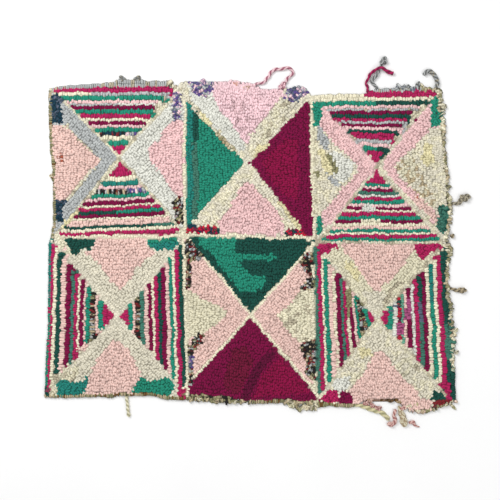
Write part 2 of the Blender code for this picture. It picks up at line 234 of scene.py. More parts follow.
TOP_RIGHT_LOWER_STRIPES = (
    (3, "green"), (3.6, "magenta"), (2.1, "cream"), (3.2, "green"), (3, "peach"), (3.2, "cream"),
    (3.2, "burgundy"), (3.7, "green"), (3.8, "magenta"), (2, "cream"), (3, "burgundy"),
    (3.2, "rose"), (3.9, "green"), (3, "magenta"), (2.1, "white"), (3, "grey_green"),
    (3.1, "burgundy"), (2.2, "rose"), (3.2, "green"), (13, "magenta"),
)
LOW_LEFT_OUTER_STRIPES = (
    (3.2, "teal", 0.4, "green"), (3.6, "magenta"), (3.2, "cream"), (4.4, "dark_green"),
    (5.2, "peach"), (4.9, "burgundy"), (3.5, "grey_green"), (3.6, "magenta"), (2.2, "cream"),
    (4, "burgundy"), (2.3, "peach"), (4.3, "green"), (5, "black_print"), (2.5, "peach"),
    (5, "green"), (13, "magenta"),
)
LOW_LEFT_INNER_STRIPES = (
    (3.3, "dark_green"), (3.8, "magenta"), (3, "cream"), (3.2, "green"), (3.8, "peach"),
    (4.4, "burgundy"), (3.3, "dark_green"), (3.8, "magenta"), (2.7, "cream"), (3.6, "burgundy"),
    (4, "peach"), (4.4, "grey_green"), (4.8, "black_print"), (2.7, "peach"), (4.4, "green"),
    (9.5, "magenta"),
)
LOW_RIGHT_INNER_STRIPES = (
    (2.9, "grey_green"), (3.8, "magenta"), (2.3, "cream"), (4.3, "green"), (4.4, "peach"),
    (3.3, "warm_cream"), (4.2, "burgundy"), (2.9, "grey_green"), (2.9, "magenta"),
    (3, "olive_cream"), (3.3, "burgundy"), (2.7, "peach"), (2.6, "green"), (6.7, "black_print"),
    (4, "green"), (7.5, "magenta"),
)
LOW_RIGHT_OUTER_STRIPES = (
    (7.4, "dark_green"), (4.7, "magenta"), (3.6, "cream"), (4, "teal", 0.35, "green"),
    (4, "warm_cream"), (3.9, "burgundy"), (4.4, "dark_green", 0.5, "grey_green"), (4.3, "magenta"),
    (2.9, "white"), (4.6, "burgundy"), (2.9, "peach"), (2.6, "pale_green"), (4.3, "red_print"),
    (4.1, "white"), (4.7, "green"), (5, "magenta"),
)


def strip(left, top, right, bottom):
    """A straight patch of the chart, by its sides."""
    return ((left, top), (right, top), (right, bottom), (left, bottom))


# Patches of each block, laid on in turn: rag and outline of its inner figures, changes of rag,
# prints, stains and wear
TOP_LEFT_PATCHES = (
    ("drab", strip(174, 82, 187, 100)),
    ("drab", ((154, 106), (159, 100), (166, 99), (160, 112), (154, 114))),
    ("drab", ((62, 124), (68, 125), (83, 141), (102, 160), (100, 164), (70, 201), (64, 200), (98, 162),
        (68, 130))),
    ("peach", ((52, 126), (62, 126), (70, 130), (79, 141), (99, 160), (99, 163), (84, 178), (73, 190),
        (65, 199), (52, 200))),
    ("navy_knit", ((50, 95), (57, 95), (63, 101), (61, 108), (64, 118), (63, 123), (53, 124), (50, 112))),
    ("navy_knit", ((54, 200), (67, 199), (67, 203), (62, 208), (64, 216), (62, 223), (55, 219))),
    ("stained", ((58, 153), (63, 152), (66, 160), (60, 163))),
    ("yellow_cream", ((74, 211), (78, 213), (66, 227), (60, 227))),
    ("rose", ((176, 120), (184, 121), (184, 197), (178, 199), (169, 186), (160, 171), (150, 160),
        (148, 152), (151, 144), (158, 142), (162, 133), (170, 123))),
    ("purple_print", strip(173, 92, 181, 121)),
    ("black_print", ((174, 200), (181, 196), (184, 206), (184, 224), (177, 223), (173, 206))),
)
TOP_MIDDLE_PATCHES = (
    ("drab", ((280, 98), (297, 104), (292, 112), (276, 131), (262, 147), (256, 146), (262, 136),
        (270, 120))),
    ("cream", ((309.5, 98), (316, 98), (316, 240), (313.5, 240), (312, 215), (311, 185), (310, 150))),
    ("white", ((186, 80), (211, 80), (212, 95), (243, 140), (246, 150), (238, 152), (192, 104))),
    ("pink", ((212, 76), (213, 95), (219, 108), (232, 124), (243, 141), (247, 146), (250, 136),
        (262, 121), (276, 104), (283, 96), (283, 76))),
    ("worn_pink", ((232, 100), (244, 102), (255, 118), (255, 132), (244, 134), (230, 116))),
    ("drab", ((191, 101), (196, 107), (210, 122), (213, 129), (209, 128), (193, 111), (187, 103))),
    ("worn_olive", ((215, 128), (219, 131), (232, 146), (236, 151), (233, 153), (224, 145), (217, 137),
        (213, 131))),
    ("yellow_cream", ((256, 146), (269, 145), (262, 153), (254, 157))),
    ("yellow_cream", ((199, 112), (206, 115), (212, 124), (210, 127), (203, 121))),
    ("yellow_cream", ((277, 201), (282, 204), (303, 228), (300, 232), (285, 215))),
    ("purple_print", ((187, 78), (216, 78), (213, 93), (206, 97), (200, 97), (190, 88))),
    ("purple_print", ((282, 98), (286, 90), (291, 82), (308, 88), (306, 97), (299, 98), (298, 104),
        (290, 101))),
    ("teal", ((184, 99), (191, 104), (193, 110), (193, 226), (187, 232), (187, 210), (189, 190),
        (189, 170), (187, 150), (186.5, 125), (184, 110))),
    ("grey_green", strip(193, 143, 198, 219)),
    ("dark_green", strip(193.5, 112, 198, 143)),
    ("raspberry", ((262, 163), (275, 148), (285, 140), (297, 140), (298, 200), (284, 196), (268, 176))),
    ("rose", ((241, 186), (247, 182), (254, 186), (262, 195), (272, 206), (280, 216), (284, 226),
        (284, 235), (221, 233.5), (218, 224), (228, 210), (235, 198))),
    ("red_print", ((186, 230), (192, 226), (216, 226), (221, 233.5), (186, 232.5))),
    ("navy", ((187, 225), (197, 224), (196, 228), (188, 228))),
    ("red_print", ((284, 235), (286, 229.5), (300, 229.5), (308, 235.5))),
)
TOP_RIGHT_PATCHES = (
    ("cream", strip(308, 95, 365, 100.8)),
    ("pink_frill", strip(318, 86, 362, 94.6)),
    ("soiled_grey", strip(308, 86, 318, 96)),
    ("cream", strip(365, 97.5, 441, 100.8)),
    ("magenta", strip(364, 86, 436, 97)),
    ("dark_green", strip(382, 101, 436, 105)),
    ("soiled", strip(310, 128, 317, 216)),
    ("grey", ((316, 127), (321, 127), (330, 143), (326, 152), (318, 140))),
    ("yellow_cream", ((318, 150), (323, 149), (330, 162), (334, 172), (328, 176), (322, 166))),
    ("grey", ((326, 172), (332, 178), (340, 184), (338, 187), (329, 181))),
    ("white", ((330, 150), (340, 154), (354, 163), (353, 172), (342, 184), (334, 178))),
    ("rose", ((321, 105), (331, 116), (339, 126), (349, 137), (358, 147), (366, 156), (375, 166),
        (375, 170), (367, 179), (358, 190), (350, 200), (341, 211), (332, 221), (325, 227), (321, 222),
        (321, 214), (328, 206), (335, 198), (343, 188), (350, 181), (357, 172), (357, 165), (350, 158),
        (340, 150), (332, 142), (326, 134), (320, 126), (319, 116))),
    ("rose", ((438, 103), (438, 128), (431, 128), (425, 134), (417, 143), (410, 151), (402, 158),
        (394, 167), (396, 173), (403, 181), (411, 188), (418, 195), (426, 203), (434, 210), (438, 217),
        (437, 224), (433, 223), (424, 213), (416, 204), (408, 196), (400, 188), (391, 179), (382, 168),
        (387, 157), (395, 147), (402, 138), (410, 128), (418, 119), (425, 110), (430, 103))),
    ("drab", ((411, 113), (426, 106), (430, 105), (418, 118), (409, 124))),
    ("tan_streaks", ((395, 168), (402, 160), (413, 158), (420, 174), (428, 188), (436, 202), (434, 209),
        (424, 200), (411, 188))),
    ("yellow_cream", ((424, 142), (430, 144), (434, 160), (428, 168), (420, 160))),
    ("peach", ((416, 195), (426, 203), (438, 217), (437, 224), (424, 213), (412, 200))),
    ("green", ((312, 103), (320, 103), (322, 112), (320, 127), (313, 127), (314, 116), (311, 108))),
    ("green", ((317, 217), (322, 217), (323, 225), (321, 233), (316, 235), (316, 225))),
    ("green", ((431, 99), (438, 99), (442, 120), (439, 127), (431, 126))),
    ("green_wear", ((438, 207), (446, 204), (453, 205), (453, 232), (440, 233), (436, 228))),
    ("olive", ((326, 154), (331, 156), (335, 163), (339, 173), (335, 174), (330, 165))),
    ("olive", ((314, 171), (318, 170), (319, 177), (318, 184), (316, 184))),
    ("stained", ((415, 195), (419, 196), (418, 199), (415, 198))),
    ("cream", ((358, 222), (366, 219.5), (374, 219.5), (390, 224), (380, 226), (360, 226))),
    ("white", ((362, 206), (368, 203), (376, 207), (374, 212), (362, 212))),
)
LOW_LEFT_PATCHES = (
    ("drab", ((48, 398), (50, 376), (60, 372), (74, 360), (80, 357), (70, 374), (60, 382), (56, 396))),
    ("soiled", ((60, 380), (66, 374), (76, 364), (82, 366), (76, 380), (64, 383))),
    ("peach", ((97, 236), (93, 249), (86, 253), (98, 262), (104, 270), (110, 280), (118, 288), (123, 290),
        (131, 278), (137, 268), (144, 262), (152, 256), (156, 251), (148, 246), (145, 235))),
    ("dark_green", ((64, 238.5), (96, 238.5), (95, 246), (88, 251), (84, 248), (80, 253), (75, 255),
        (71, 253), (70, 248), (65, 244))),
    ("warm_cream", ((57, 238), (65, 238), (70, 249), (74, 255), (70, 257), (60, 247))),
    ("green", ((146, 236), (180, 235), (178, 243), (172, 249), (165, 248), (156, 250), (150, 246))),
    ("teal", ((148, 243), (179, 241), (172, 250), (165, 249), (156, 251))),
    ("peach", ((116, 340), (110, 342), (105, 349), (98, 358), (94, 366), (90, 374), (88, 384), (84, 398),
        (134, 398), (132, 388), (138, 381), (142, 376), (137, 365), (130, 352), (123, 343))),
    ("teal", ((57, 385), (62, 380), (74, 382), (83, 381), (86, 377), (90, 375), (87, 388), (81, 395),
        (58, 395))),
    ("green", ((132, 390), (136, 385), (138, 380), (143, 378), (152, 381), (160, 378), (168, 378),
        (174, 384), (174, 392), (160, 398), (135, 398))),
    ("magenta", ((177, 388), (184, 388), (187, 397), (180, 397))),
    ("magenta", strip(44, 381, 51, 389)),
    ("dark_green", strip(44, 389, 50, 398)),
    ("brown", ((136, 393), (148, 392), (148, 400), (137, 400))),
)
LOW_MIDDLE_PATCHES = (
    ("dark_green", ((190, 237.2), (313, 240.2), (311, 244), (192, 242))),
    ("green", ((197, 237.4), (236, 238.2), (236, 252), (242, 254), (272, 254), (277, 256), (276, 260),
        (244, 259), (240, 263), (245, 270), (252, 275), (262, 275), (266, 279), (264, 286), (256, 291),
        (240, 291), (230, 279), (218, 263), (209, 250), (200, 246))),
    ("burgundy", ((186, 390), (318, 394), (316, 401), (292, 401), (286, 406), (252, 406), (246, 399),
        (226, 396), (186, 394))),
    ("fray", ((184, 393.5), (226, 396), (246, 399.5), (252, 412), (184, 412))),
    ("frill", ((284, 412), (290, 401), (318, 400), (320, 412))),
    ("dark_burgundy", ((273, 350), (278, 354), (268, 363), (260, 373), (254, 386), (249, 400), (240, 400),
        (244, 387), (250, 374), (258, 361), (266, 354))),
    ("wine", ((233, 350), (246, 346), (253, 362), (246, 380), (238, 394), (222, 386))),
    ("raspberry", ((281, 357), (306, 385), (310, 394), (254, 396), (262, 374))),
    ("olive_cream", ((182, 289), (190, 290), (200, 297), (212, 303), (229, 311), (220, 322), (205, 332),
        (196, 336), (182, 341))),
    ("yellow_streaks", ((315, 288), (301, 290), (293, 300), (286, 308), (276, 315), (284, 326),
        (292, 336), (301, 343), (315, 342))),
    ("black_print", ((185, 241), (192, 241), (198, 249), (204, 257), (200, 260), (191.5, 261),
        (191.5, 288), (185, 289))),
    ("black_print", ((199, 333), (206, 335), (203, 341), (197, 347), (194, 354), (194, 386), (188, 386),
        (188, 352), (191, 342))),
    ("purple_print", strip(189, 356, 194, 367)),
    ("black_print", ((303, 254), (312, 251), (313, 262), (311, 271), (313, 280), (312, 289), (305, 291),
        (300, 287), (305, 281), (309, 277), (304, 270), (300, 266))),
    ("black_print", ((300, 346), (305, 341), (315, 340), (317, 365), (314, 379), (309, 378), (304, 371),
        (306, 362))),
)
LOW_RIGHT_PATCHES = (
    ("linen", ((360, 291), (388, 292), (380, 310), (372, 310))),
    ("linen", ((372, 328), (386, 334), (384, 348), (366, 344))),
    ("peach", ((338, 243), (345, 252), (352, 260), (358, 268), (363, 276), (368, 284), (374, 291),
        (378, 291), (384, 285), (392, 277), (400, 270), (405, 262), (410, 254), (414, 247), (415, 243))),
    ("magenta", ((318, 243), (339, 243), (338, 248), (331, 249), (328, 253), (321, 254), (318, 250))),
    ("magenta", ((413, 243), (444, 243), (442, 248), (433, 251), (427, 255), (422, 260), (417, 255),
        (414, 249))),
    ("yellow_cream", ((345, 261), (351, 263), (360, 274), (358, 281), (350, 273), (345, 266))),
    ("dusty_tan", ((400, 281), (402, 283), (392, 292), (386, 304), (383, 308), (384, 300), (389, 291))),
    ("soiled", ((400, 344), (410, 347), (420, 362), (420, 374), (408, 362))),
    ("yellow_cream", ((358, 348), (370, 348), (372, 354), (362, 358))),
    ("peach", ((376, 350), (383, 351), (388, 358), (393, 366), (400, 374), (406, 381), (414, 390),
        (420, 397), (431, 400), (430, 412), (354, 412), (349, 398), (350, 389), (355, 383), (362, 375),
        (367, 366), (372, 358))),
    ("white", ((330, 391), (336, 379), (350, 375), (348, 386), (345, 392))),
    ("magenta", ((321, 402), (324, 393), (330, 390), (337, 391), (339, 402))),
    ("burgundy", ((338, 400), (340, 391), (347, 391), (350, 387), (350, 394), (353, 399), (352, 406),
        (343, 406))),
    ("dark_green", ((430, 400), (433, 390), (443, 393), (445, 398), (438, 400))),
    ("brick", ((430, 412), (433, 400), (452, 397), (452, 412))),
    ("grey_green", strip(444, 324, 458, 361)),
    ("slate", strip(418, 302, 423, 322)),
    ("slate", strip(391, 305, 395, 312)),
    ("mauve", strip(405, 299, 411, 320)),
    ("mauve", ((396, 324), (402, 323), (404, 334), (398, 336))),
    ("magenta", ((441, 374), (447, 376), (450, 388), (451, 398), (446, 399), (443, 386))),
    ("brown", strip(365, 397, 397, 406)),
    ("tan", ((314, 240), (318, 241), (317, 246), (313, 246))),
    ("olive", strip(346.5, 289, 350.5, 317)),
)

# The six blocks. Corners of the frame and ends of the four diagonals run top left, top right, bottom
# left, bottom right. Rags are those of the frame and the diagonals. A striped panel has its outer and
# inner row and its stripes, and a filled one its rag and how many rows follow its arms.
BLOCKS = {
    "top_left": {
        "corners": ((52, 92), (184.8, 92), (55, 237), (185.2, 236)),
        "diagonals": ((53, 91), (183, 88), (54, 238), (186, 235)),
        "centre": (120, 157),
        "rags": ("cream", "drab"),
        "top": (((50, 88.5), (176, 88.5)), ((112, 147), (127, 147)), TOP_LEFT_UPPER_STRIPES),
        "bottom": (((57, 237), (185, 231.5)), ((108, 178), (134, 176.5)), TOP_LEFT_LOWER_STRIPES),
        "left": ("grey", 5),
        "right": ("white", 6),
        "patches": TOP_LEFT_PATCHES,
    },
    "top_middle": {
        "corners": ((185.8, 93), (311, 98), (186, 235.2), (313.5, 238.4)),
        "diagonals": ((182, 99), (308, 99), (188, 228), (309, 241.5)),
        "centre": (247.5, 162.5),
        "rags": ("cream", "mottled"),
        "top": ("mottled", 6),
        "bottom": ("mottled", 6),
        "left": ("green", 0),
        "right": ("burgundy", 0),
        "patches": TOP_MIDDLE_PATCHES,
    },
    "top_right": {
        "corners": ((312.5, 98), (438, 98), (315.5, 242), (441, 242.5)),
        "diagonals": ((314, 101), (437, 97), (320, 239), (441, 239)),
        "centre": (376.5, 168),
        "rags": ("drab", "drab"),
        "top": (((314, 98), (424, 98)), ((361, 146.5), (387, 149.5)), TOP_RIGHT_UPPER_STRIPES),
        "bottom": (((317, 241), (444, 241)), ((366, 184), (388, 184)), TOP_RIGHT_LOWER_STRIPES),
        "left": ("mottled", 3),
        "right": ("mottled", 3),
        "patches": TOP_RIGHT_PATCHES,
    },
    "low_left": {
        "corners": ((53, 237.5), (183.8, 237), (50, 395), (187.6, 396)),
        "diagonals": ((55, 240), (184, 240), (50, 393), (184, 394)),
        "centre": (118, 316),
        "rags": ("cream", "linen"),
        "left": (((48.5, 238), (44, 391)), ((104, 302), (102.5, 324)), LOW_LEFT_OUTER_STRIPES),
        "right": (((181.8, 240), (185.6, 394)), ((128, 303), (129.5, 328)), LOW_LEFT_INNER_STRIPES),
        "top": ("linen", 6),
        "bottom": ("linen", 6),
        "patches": LOW_LEFT_PATCHES,
    },
    "low_middle": {
        "corners": ((183.8, 235.6), (311.6, 238.6), (187.6, 393), (314.6, 399)),
        "diagonals": ((188, 238), (314, 243.4), (183, 389), (321, 398)),
        "centre": (251, 315),
        "rags": ("cream", "cream"),
        "top": ("dark_green", 0),
        "bottom": ("burgundy", 0),
        "left": ("peach", 5),
        "right": ("peach", 5),
        "patches": LOW_MIDDLE_PATCHES,
    },
    "low_right": {
        "corners": ((312.6, 242.8), (441, 242.8), (315, 398), (450, 400)),
        "diagonals": ((317, 244), (441, 246), (321, 397), (448, 398)),
        "centre": (377, 318),
        "rags": ("drab", "drab"),
        "left": (((314.2, 244), (318, 397)), ((366, 309), (373, 329)), LOW_RIGHT_INNER_STRIPES),
        "right": (((446.5, 244), (455, 398)), ((391, 304), (391, 331)), LOW_RIGHT_OUTER_STRIPES),
        "top": ("olive_cream", 6),
        "bottom": ("mottled", 6),
        "patches": LOW_RIGHT_PATCHES,
    },
}

# Rag of each whipped rim, and its changes along the rim, in squares of the chart
RIM_RAGS = {
    "binding_top_left": ("soiled_grey", ((168, 188, "frill"),)),
    "binding_top_right": ("grey_print", ((373, 390, "soiled_grey"), (420, 440, "frill"))),
    "binding_left": ("whipping", ((238, 300, "teal"), (300, 386, "green"), (386, 400, "dark_green"))),
    "binding_right": ("frill", (
        (96, 130, "green_frill"), (240, 300, "frill"), (325, 370, "green_frill"),
        (370, 402, "dark_green"))),
    "binding_bottom": ("whipping", ((184, 252, "fray"), (284, 318, "frill"), (318, 362, "whipping"))),
    "binding_bottom_right": ("pink_frill", ((426, 452, "frill"),)),
}

# Rags that stand out from the rim in ruffles and tufts
RAGGED = ("frill", "fray", "green_frill", "pink_frill", "grey_print")

# Outward direction of each whipped rim
RIM_SIDES = {
    "binding_top_left": Vector((0, 1, 0)),
    "binding_top_right": Vector((0, 1, 0)),
    "binding_left": Vector((-1, 0, 0)),
    "binding_right": Vector((1, 0, 0)),
    "binding_bottom": Vector((0, -1, 0)),
    "binding_bottom_right": Vector((0, -1, 0)),
}

# Long loose ends: diameter, rag of the crests and darker colour painted into the folds as shade, lobes,
# length of one twist, and the route in metres with the thickness as a share of the diameter
LOOSE_ENDS = {
    "loose_end_pink": (0.009, ("pink", "burgundy"), 2, 0.021, (
        (-0.0035, 0.5026, 0.005, 1.03), (-0.0035, 0.5066, 0.005, 1.03), (0.0035, 0.5078, 0.005, 1.03),
        (0.0135, 0.5088, 0.005, 1.03), (0.0225, 0.5138, 0.005, 1.15), (0.0275, 0.5228, 0.005, 1.15),
        (0.0355, 0.5298, 0.005, 1.15), (0.0385, 0.5398, 0.005, 1.21), (0.0485, 0.5468, 0.005, 1.21),
        (0.0565, 0.5508, 0.005, 1.15), (0.0675, 0.5498, 0.005, 1.09), (0.0795, 0.5528, 0.005, 1.15),
        (0.0915, 0.5548, 0.005, 1.15), (0.1025, 0.5488, 0.005, 1.09), (0.1065, 0.5378, 0.005, 1.03),
        (0.0985, 0.5298, 0.005, 1.03), (0.0895, 0.5228, 0.005, 1.15), (0.0865, 0.5148, 0.005, 1.15),
        (0.0835, 0.5098, 0.0055, 1.15),
    )),
    "loose_end_magenta": (0.008, ("magenta", "dark_burgundy"), 2, 0.018, (
        (0.3295, 0.4812, 0.005, 1.15), (0.3295, 0.4852, 0.005, 1.15), (0.3295, 0.4888, 0.005, 1.15),
        (0.3295, 0.4978, 0.0045, 1.15), (0.3245, 0.5068, 0.0045, 1.09), (0.3285, 0.5168, 0.0045, 1.03),
        (0.3335, 0.5258, 0.0045, 1.15), (0.3365, 0.5348, 0.0046, 1.26), (0.3435, 0.5408, 0.0055, 1.26),
        (0.3515, 0.5468, 0.0088, 1.26), (0.3595, 0.5508, 0.0134, 1.15), (0.3665, 0.5538, 0.0150, 1.15),
        (0.3745, 0.5518, 0.0136, 1.3), (0.3815, 0.5478, 0.0100, 1.45), (0.3895, 0.5428, 0.0072, 1.6),
        (0.3985, 0.5398, 0.0062, 1.7), (0.4065, 0.5368, 0.0060, 1.6),
    )),
    "loose_end_grey": (0.0095, ("grey", "black"), 3, 0.016, (
        (0.3565, 0.4918, 0.0052, 1.03), (0.3565, 0.4958, 0.0052, 1.03), (0.3515, 0.5018, 0.0052, 1.03),
        (0.3435, 0.5088, 0.0052, 1.15), (0.3435, 0.5178, 0.0052, 1.21), (0.3495, 0.5248, 0.0052, 1.21),
        (0.3565, 0.5318, 0.0052, 1.15), (0.3615, 0.5408, 0.0052, 1.03), (0.3655, 0.5508, 0.0052, 0.98),
        (0.3695, 0.5608, 0.0052, 1.03),
    )),
    "loose_end_corner": (0.012, ("soiled_grey", "black"), 3, 0.014, (
        (0.5345, 0.4937, 0.0060, 1.06), (0.5345, 0.4977, 0.0060, 1.06), (0.5365, 0.4998, 0.0060, 1.06),
        (0.5385, 0.5078, 0.0064, 1.12), (0.5365, 0.5178, 0.0064, 1.18), (0.5315, 0.5288, 0.0064, 1.24),
        (0.5235, 0.5388, 0.0064, 1.24), (0.5135, 0.5448, 0.0064, 1.24), (0.5035, 0.5408, 0.0064, 1.12),
        (0.4975, 0.5328, 0.0064, 0.94),
    )),
}

# Short ends and knots: crest rag and fold colour, mostly a darker one painted in as shade, lobes,
# length of one twist in mm, and rows of x, y, width and height in mm
SHORT_ENDS = {
    "knot_pink": (("pink", "burgundy"), 2, 16, (
        (65.5, 486.3, 9, 8), (68.5, 494.3, 13, 10), (72.5, 498.8, 15, 11), (76.5, 501.8, 15, 11),
        (79.9, 503.9, 14, 10), (83.0, 509.0, 9, 8),
    )),
    "knot_grey": (("grey", "black"), 3, 16, (
        (369.8, 561.4, 8, 8), (372.0, 566.9, 13, 10), (374.5, 570.8, 17, 12), (378.5, 576.8, 18, 12),
        (381.5, 582.8, 15, 11), (383.5, 587.8, 9, 9),
    )),
    "tail_right_upper": (("dusty_tan", "black"), 2, 14, (
        (581.8, 146.8, 12, 8), (588.5, 148.8, 10, 8), (596.5, 147.8, 13, 9), (604.5, 150.8, 15, 10),
        (610.5, 160.8, 18, 12), (620.5, 166.8, 20, 13), (630.5, 167.8, 18, 12), (637.5, 166.8, 12, 9),
    )),
    "tail_right_lower": (("tan", "black"), 2, 14, (
        (577.4, -106.2, 10, 8), (587.5, -109.2, 11, 8), (597.5, -112.2, 14, 10),
        (607.5, -111.2, 15, 11), (617.5, -111.2, 15, 11), (626.5, -113.2, 9, 7),
    )),
    "tail_bottom_left": (("cream", "olive"), 2, 14, (
        (-391.5, -429.8, 10, 8), (-391.5, -439.2, 13, 10), (-390.5, -446.2, 8, 8),
        (-389.5, -453.2, 13, 10), (-388.5, -460.2, 8, 8), (-388.5, -467.2, 13, 10),
        (-387.5, -474.2, 8, 8), (-386.5, -481.2, 14, 10), (-384.5, -490.2, 9, 7),
    )),
    "tail_bottom_cream": (("yellow_cream", "olive"), 2, 22, (
        (291.5, -456.7, 9, 8), (301.5, -456.7, 11, 8), (315.5, -459.2, 14, 9), (329.5, -464.2, 16, 9),
        (347.5, -470.2, 18, 10), (364.5, -475.2, 16, 9), (378.5, -483.2, 16, 9), (388.5, -493.2, 16, 9),
        (393.5, -501.2, 8, 6),
    )),
    "tail_bottom_tan": (("olive_cream", "brown"), 3, 20, (
        (424.5, -458.0, 10, 8), (426.5, -468.2, 15, 9), (430.5, -478.2, 18, 10), (434.5, -488.2, 21, 11),
        (437.5, -499.2, 22, 12), (439.5, -511.2, 21, 11), (440.5, -520.2, 13, 8),
    )),
    "tail_bottom_pink": (("peach", "brick"), 2, 14, (
        (412.5, -468.2, 9, 8), (411.5, -475.2, 13, 10), (409.5, -482.2, 9, 9), (407.5, -489.2, 11, 10),
        (412.5, -497.2, 13, 10), (411.5, -505.2, 14, 11), (404.5, -512.2, 17, 11),
        (394.5, -513.2, 16, 10), (388.5, -512.2, 8, 7),
    )),
    "tail_bottom_tip": (("peach", "brick"), 2, 12, (
        (454.0, -510.2, 9, 7), (460.5, -507.2, 12, 9), (467.5, -508.2, 14, 10), (471.5, -516.2, 9, 7),
        (479.5, -520.2, 6, 5), (485.5, -521.2, 4, 4),
    )),
    "tail_corner": (("frill", "olive"), 2, 12, (
        (579.5, -453.2, 8, 6), (582.5, -457.2, 10, 7), (588.5, -463.2, 10, 7), (594.5, -469.2, 6, 5),
    )),
}

# Strands knotted round a short end: its name, then middle x and y, length, width and height of the
# knot, its heading in degrees and the strand's thickness, all in mm
KNOTS = (
    ("knot_pink", 74.5, 500.5, 27, 22, 12.6, 45, 7.0),
    ("knot_grey", 377.0, 574.0, 27, 24, 13.6, 60, 7.5),
    ("tail_right_upper", 620.5, 166.0, 32, 26, 14.4, 10, 7.5),
    ("tail_right_upper", 604.0, 151.0, 16, 15, 10.5, 40, 5.0),
    ("tail_right_lower", 612.0, -111.5, 23, 20, 12.0, 0, 6.5),
    ("tail_bottom_tan", 431.5, -482.0, 25, 20, 11.5, -70, 6.5),
    ("tail_bottom_tan", 438.5, -505.0, 28, 26, 12.8, -85, 7.0),
    ("tail_bottom_pink", 400.0, -512.5, 22, 17, 12.0, 5, 6.0),
    ("tail_bottom_tip", 466.0, -508.0, 15, 13, 9.6, 0, 4.5),
)

# Knobs of rag tied at the rims: their places on the chart, sizes in mm, and crest rag and fold colour,
# mostly a darker one painted in as shade
RIM_KNOTS = (
    ((122.5, 79), 24, 20, ("soiled_grey", "black")), ((137.5, 79), 24, 20, ("soiled_grey", "black")),
    ((52.5, 176), 18, 16, ("olive_cream", "brown")), ((236, 84), 22, 17, ("peach", "rust")),
    ((247, 88), 26, 16, ("peach", "brown")), ((203, 81), 17, 14, ("purple", "pink")),
    ((303, 90), 18, 15, ("purple", "pink")), ((407, 87), 18, 14, ("grey", "black")),
    ((418, 84), 17, 14, ("soiled_grey", "black")), ((444, 107), 20, 15, ("cream", "black")),
    ((449, 200), 20, 16, ("cream", "olive")), ((452, 236), 17, 14, ("tan", "black")),
    ((455, 330), 20, 15, ("cream", "olive")), ((456, 352), 18, 14, ("cream", "black")),
    ((48, 390), 18, 15, ("magenta", "dark_green")), ((200, 399), 20, 14, ("cream", "black")),
    ((216, 401), 18, 14, ("tan", "black")), ((235, 402), 20, 13, ("cream", "black")),
    ((292, 405), 24, 18, ("cream", "olive")), ((306, 407), 26, 18, ("cream", "tan")),
    ((312, 404), 18, 14, ("olive_cream", "black")), ((370, 400), 22, 16, ("peach", "brown")),
    ((366, 403), 22, 16, ("peach", "brick")), ((372, 405), 22, 16, ("peach", "brick")),
    ((378, 408), 24, 18, ("peach", "brick")),
    ((399, 401), 22, 14, ("tan", "brown")), ((402, 408), 18, 14, ("peach", "brick")),
    ((409, 405), 24, 18, ("cream", "olive")), ((416, 404), 18, 15, ("yellow_cream", "olive")),
    ((390, 400.5), 26, 12, ("brown", "black")), ((422, 405), 24, 18, ("peach", "olive")),
    ((434, 405), 20, 16, ("brick", "dark_green")),
)


def linear(code):
    """A colour given as an sRGB hex code, as linear red, green and blue."""
    shares = [int(code[place:place + 2], 16) / 255 for place in (1, 3, 5)]
    return tuple(s / 12.92 if s <= 0.04045 else ((s + 0.055) / 1.055) ** 2.4 for s in shares)


class RugSizes(bpy.types.PropertyGroup):
    """Sizes of the hooking, whipping and weave"""

    loop_spacing: FloatProperty(
        name="Loop spacing", description="Distance between loops along a row",
        default=6.4 * MM, min=4.0 * MM, max=20.0 * MM, unit="LENGTH")
    loop_proud: FloatProperty(
        name="Loop height above the pile", description="How far loops stand above the pile's surface",
        default=0.5 * MM, min=0.0, max=3.0 * MM, unit="LENGTH")
    rib_spacing: FloatProperty(
        name="Whipping spacing", description="Distance between turns of rag round the rim",
        default=5.6 * MM, min=3.0 * MM, max=15.0 * MM, unit="LENGTH")
    jute_pitch: FloatProperty(
        name="Jute thread spacing", description="Distance between threads of the ground cloth",
        default=2.4 * MM, min=1.0 * MM, max=6.0 * MM, unit="LENGTH")
    camera_height: FloatProperty(
        name="Camera height", description="Height of the camera above the floor",
        default=3.0, min=1.0, max=10.0, unit="LENGTH")


class RagColours(bpy.types.PropertyGroup):
    """Colours of the plain rags"""

    __annotations__ = {
        name: FloatVectorProperty(
            name=name.replace("_", " ").capitalize(),
            description=f"Colour of the {name.replace('_', ' ')} rag",
            subtype="COLOR", size=3, min=0.0, max=1.0, default=linear(code))
        for name, code in RAGS.items()
    }


def pick_rag(name, draw):
    """The plain colour that one loop of a rag shows."""
    while name in MIXES:
        name = MIXES[name][int(draw.random() * len(MIXES[name]))]
    return name


def worn_rag(name, x, y, draw):
    """The plain colour of a worn rag at a place, which keeps on for a few loops."""
    if name not in WORN:
        return name
    share = 0.5 + 0.9 * noise.noise(Vector((x, y, 7.7)) / RAG_RUN) + draw.uniform(-0.12, 0.12)
    return MIXES[name][min(max(int(share * len(MIXES[name])), 0), len(MIXES[name]) - 1)]


def rag_colour(name, draw, spread=0.16):
    """Linear colour of one loop or turn of a rag, a little lighter or darker than the next."""
    plain = getattr(bpy.context.scene.rag_colours, pick_rag(name, draw))
    light = 1.0 + draw.uniform(-spread, spread)
    return tuple(min(part * light, 1.0) for part in plain)


def on_rug(places):
    """Places on the chart as metres on the rug."""
    return (np.asarray(places, float) - CHART_MIDDLE) * (SQUARE, -SQUARE)


def tree_of(name):
    """Search tree of one solid."""
    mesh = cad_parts[name].data
    points = [vertex.co.copy() for vertex in mesh.vertices]
    return BVHTree.FromPolygons(points, [tuple(face.vertices) for face in mesh.polygons])


def top_of(tree, x, y):
    """Height of a solid's top at a place, or None beside it."""
    hit = tree.ray_cast(Vector((x, y, 50.0 * MM)), Vector((0, 0, -1)))[0]
    return None if hit is None else hit.z


# Materials

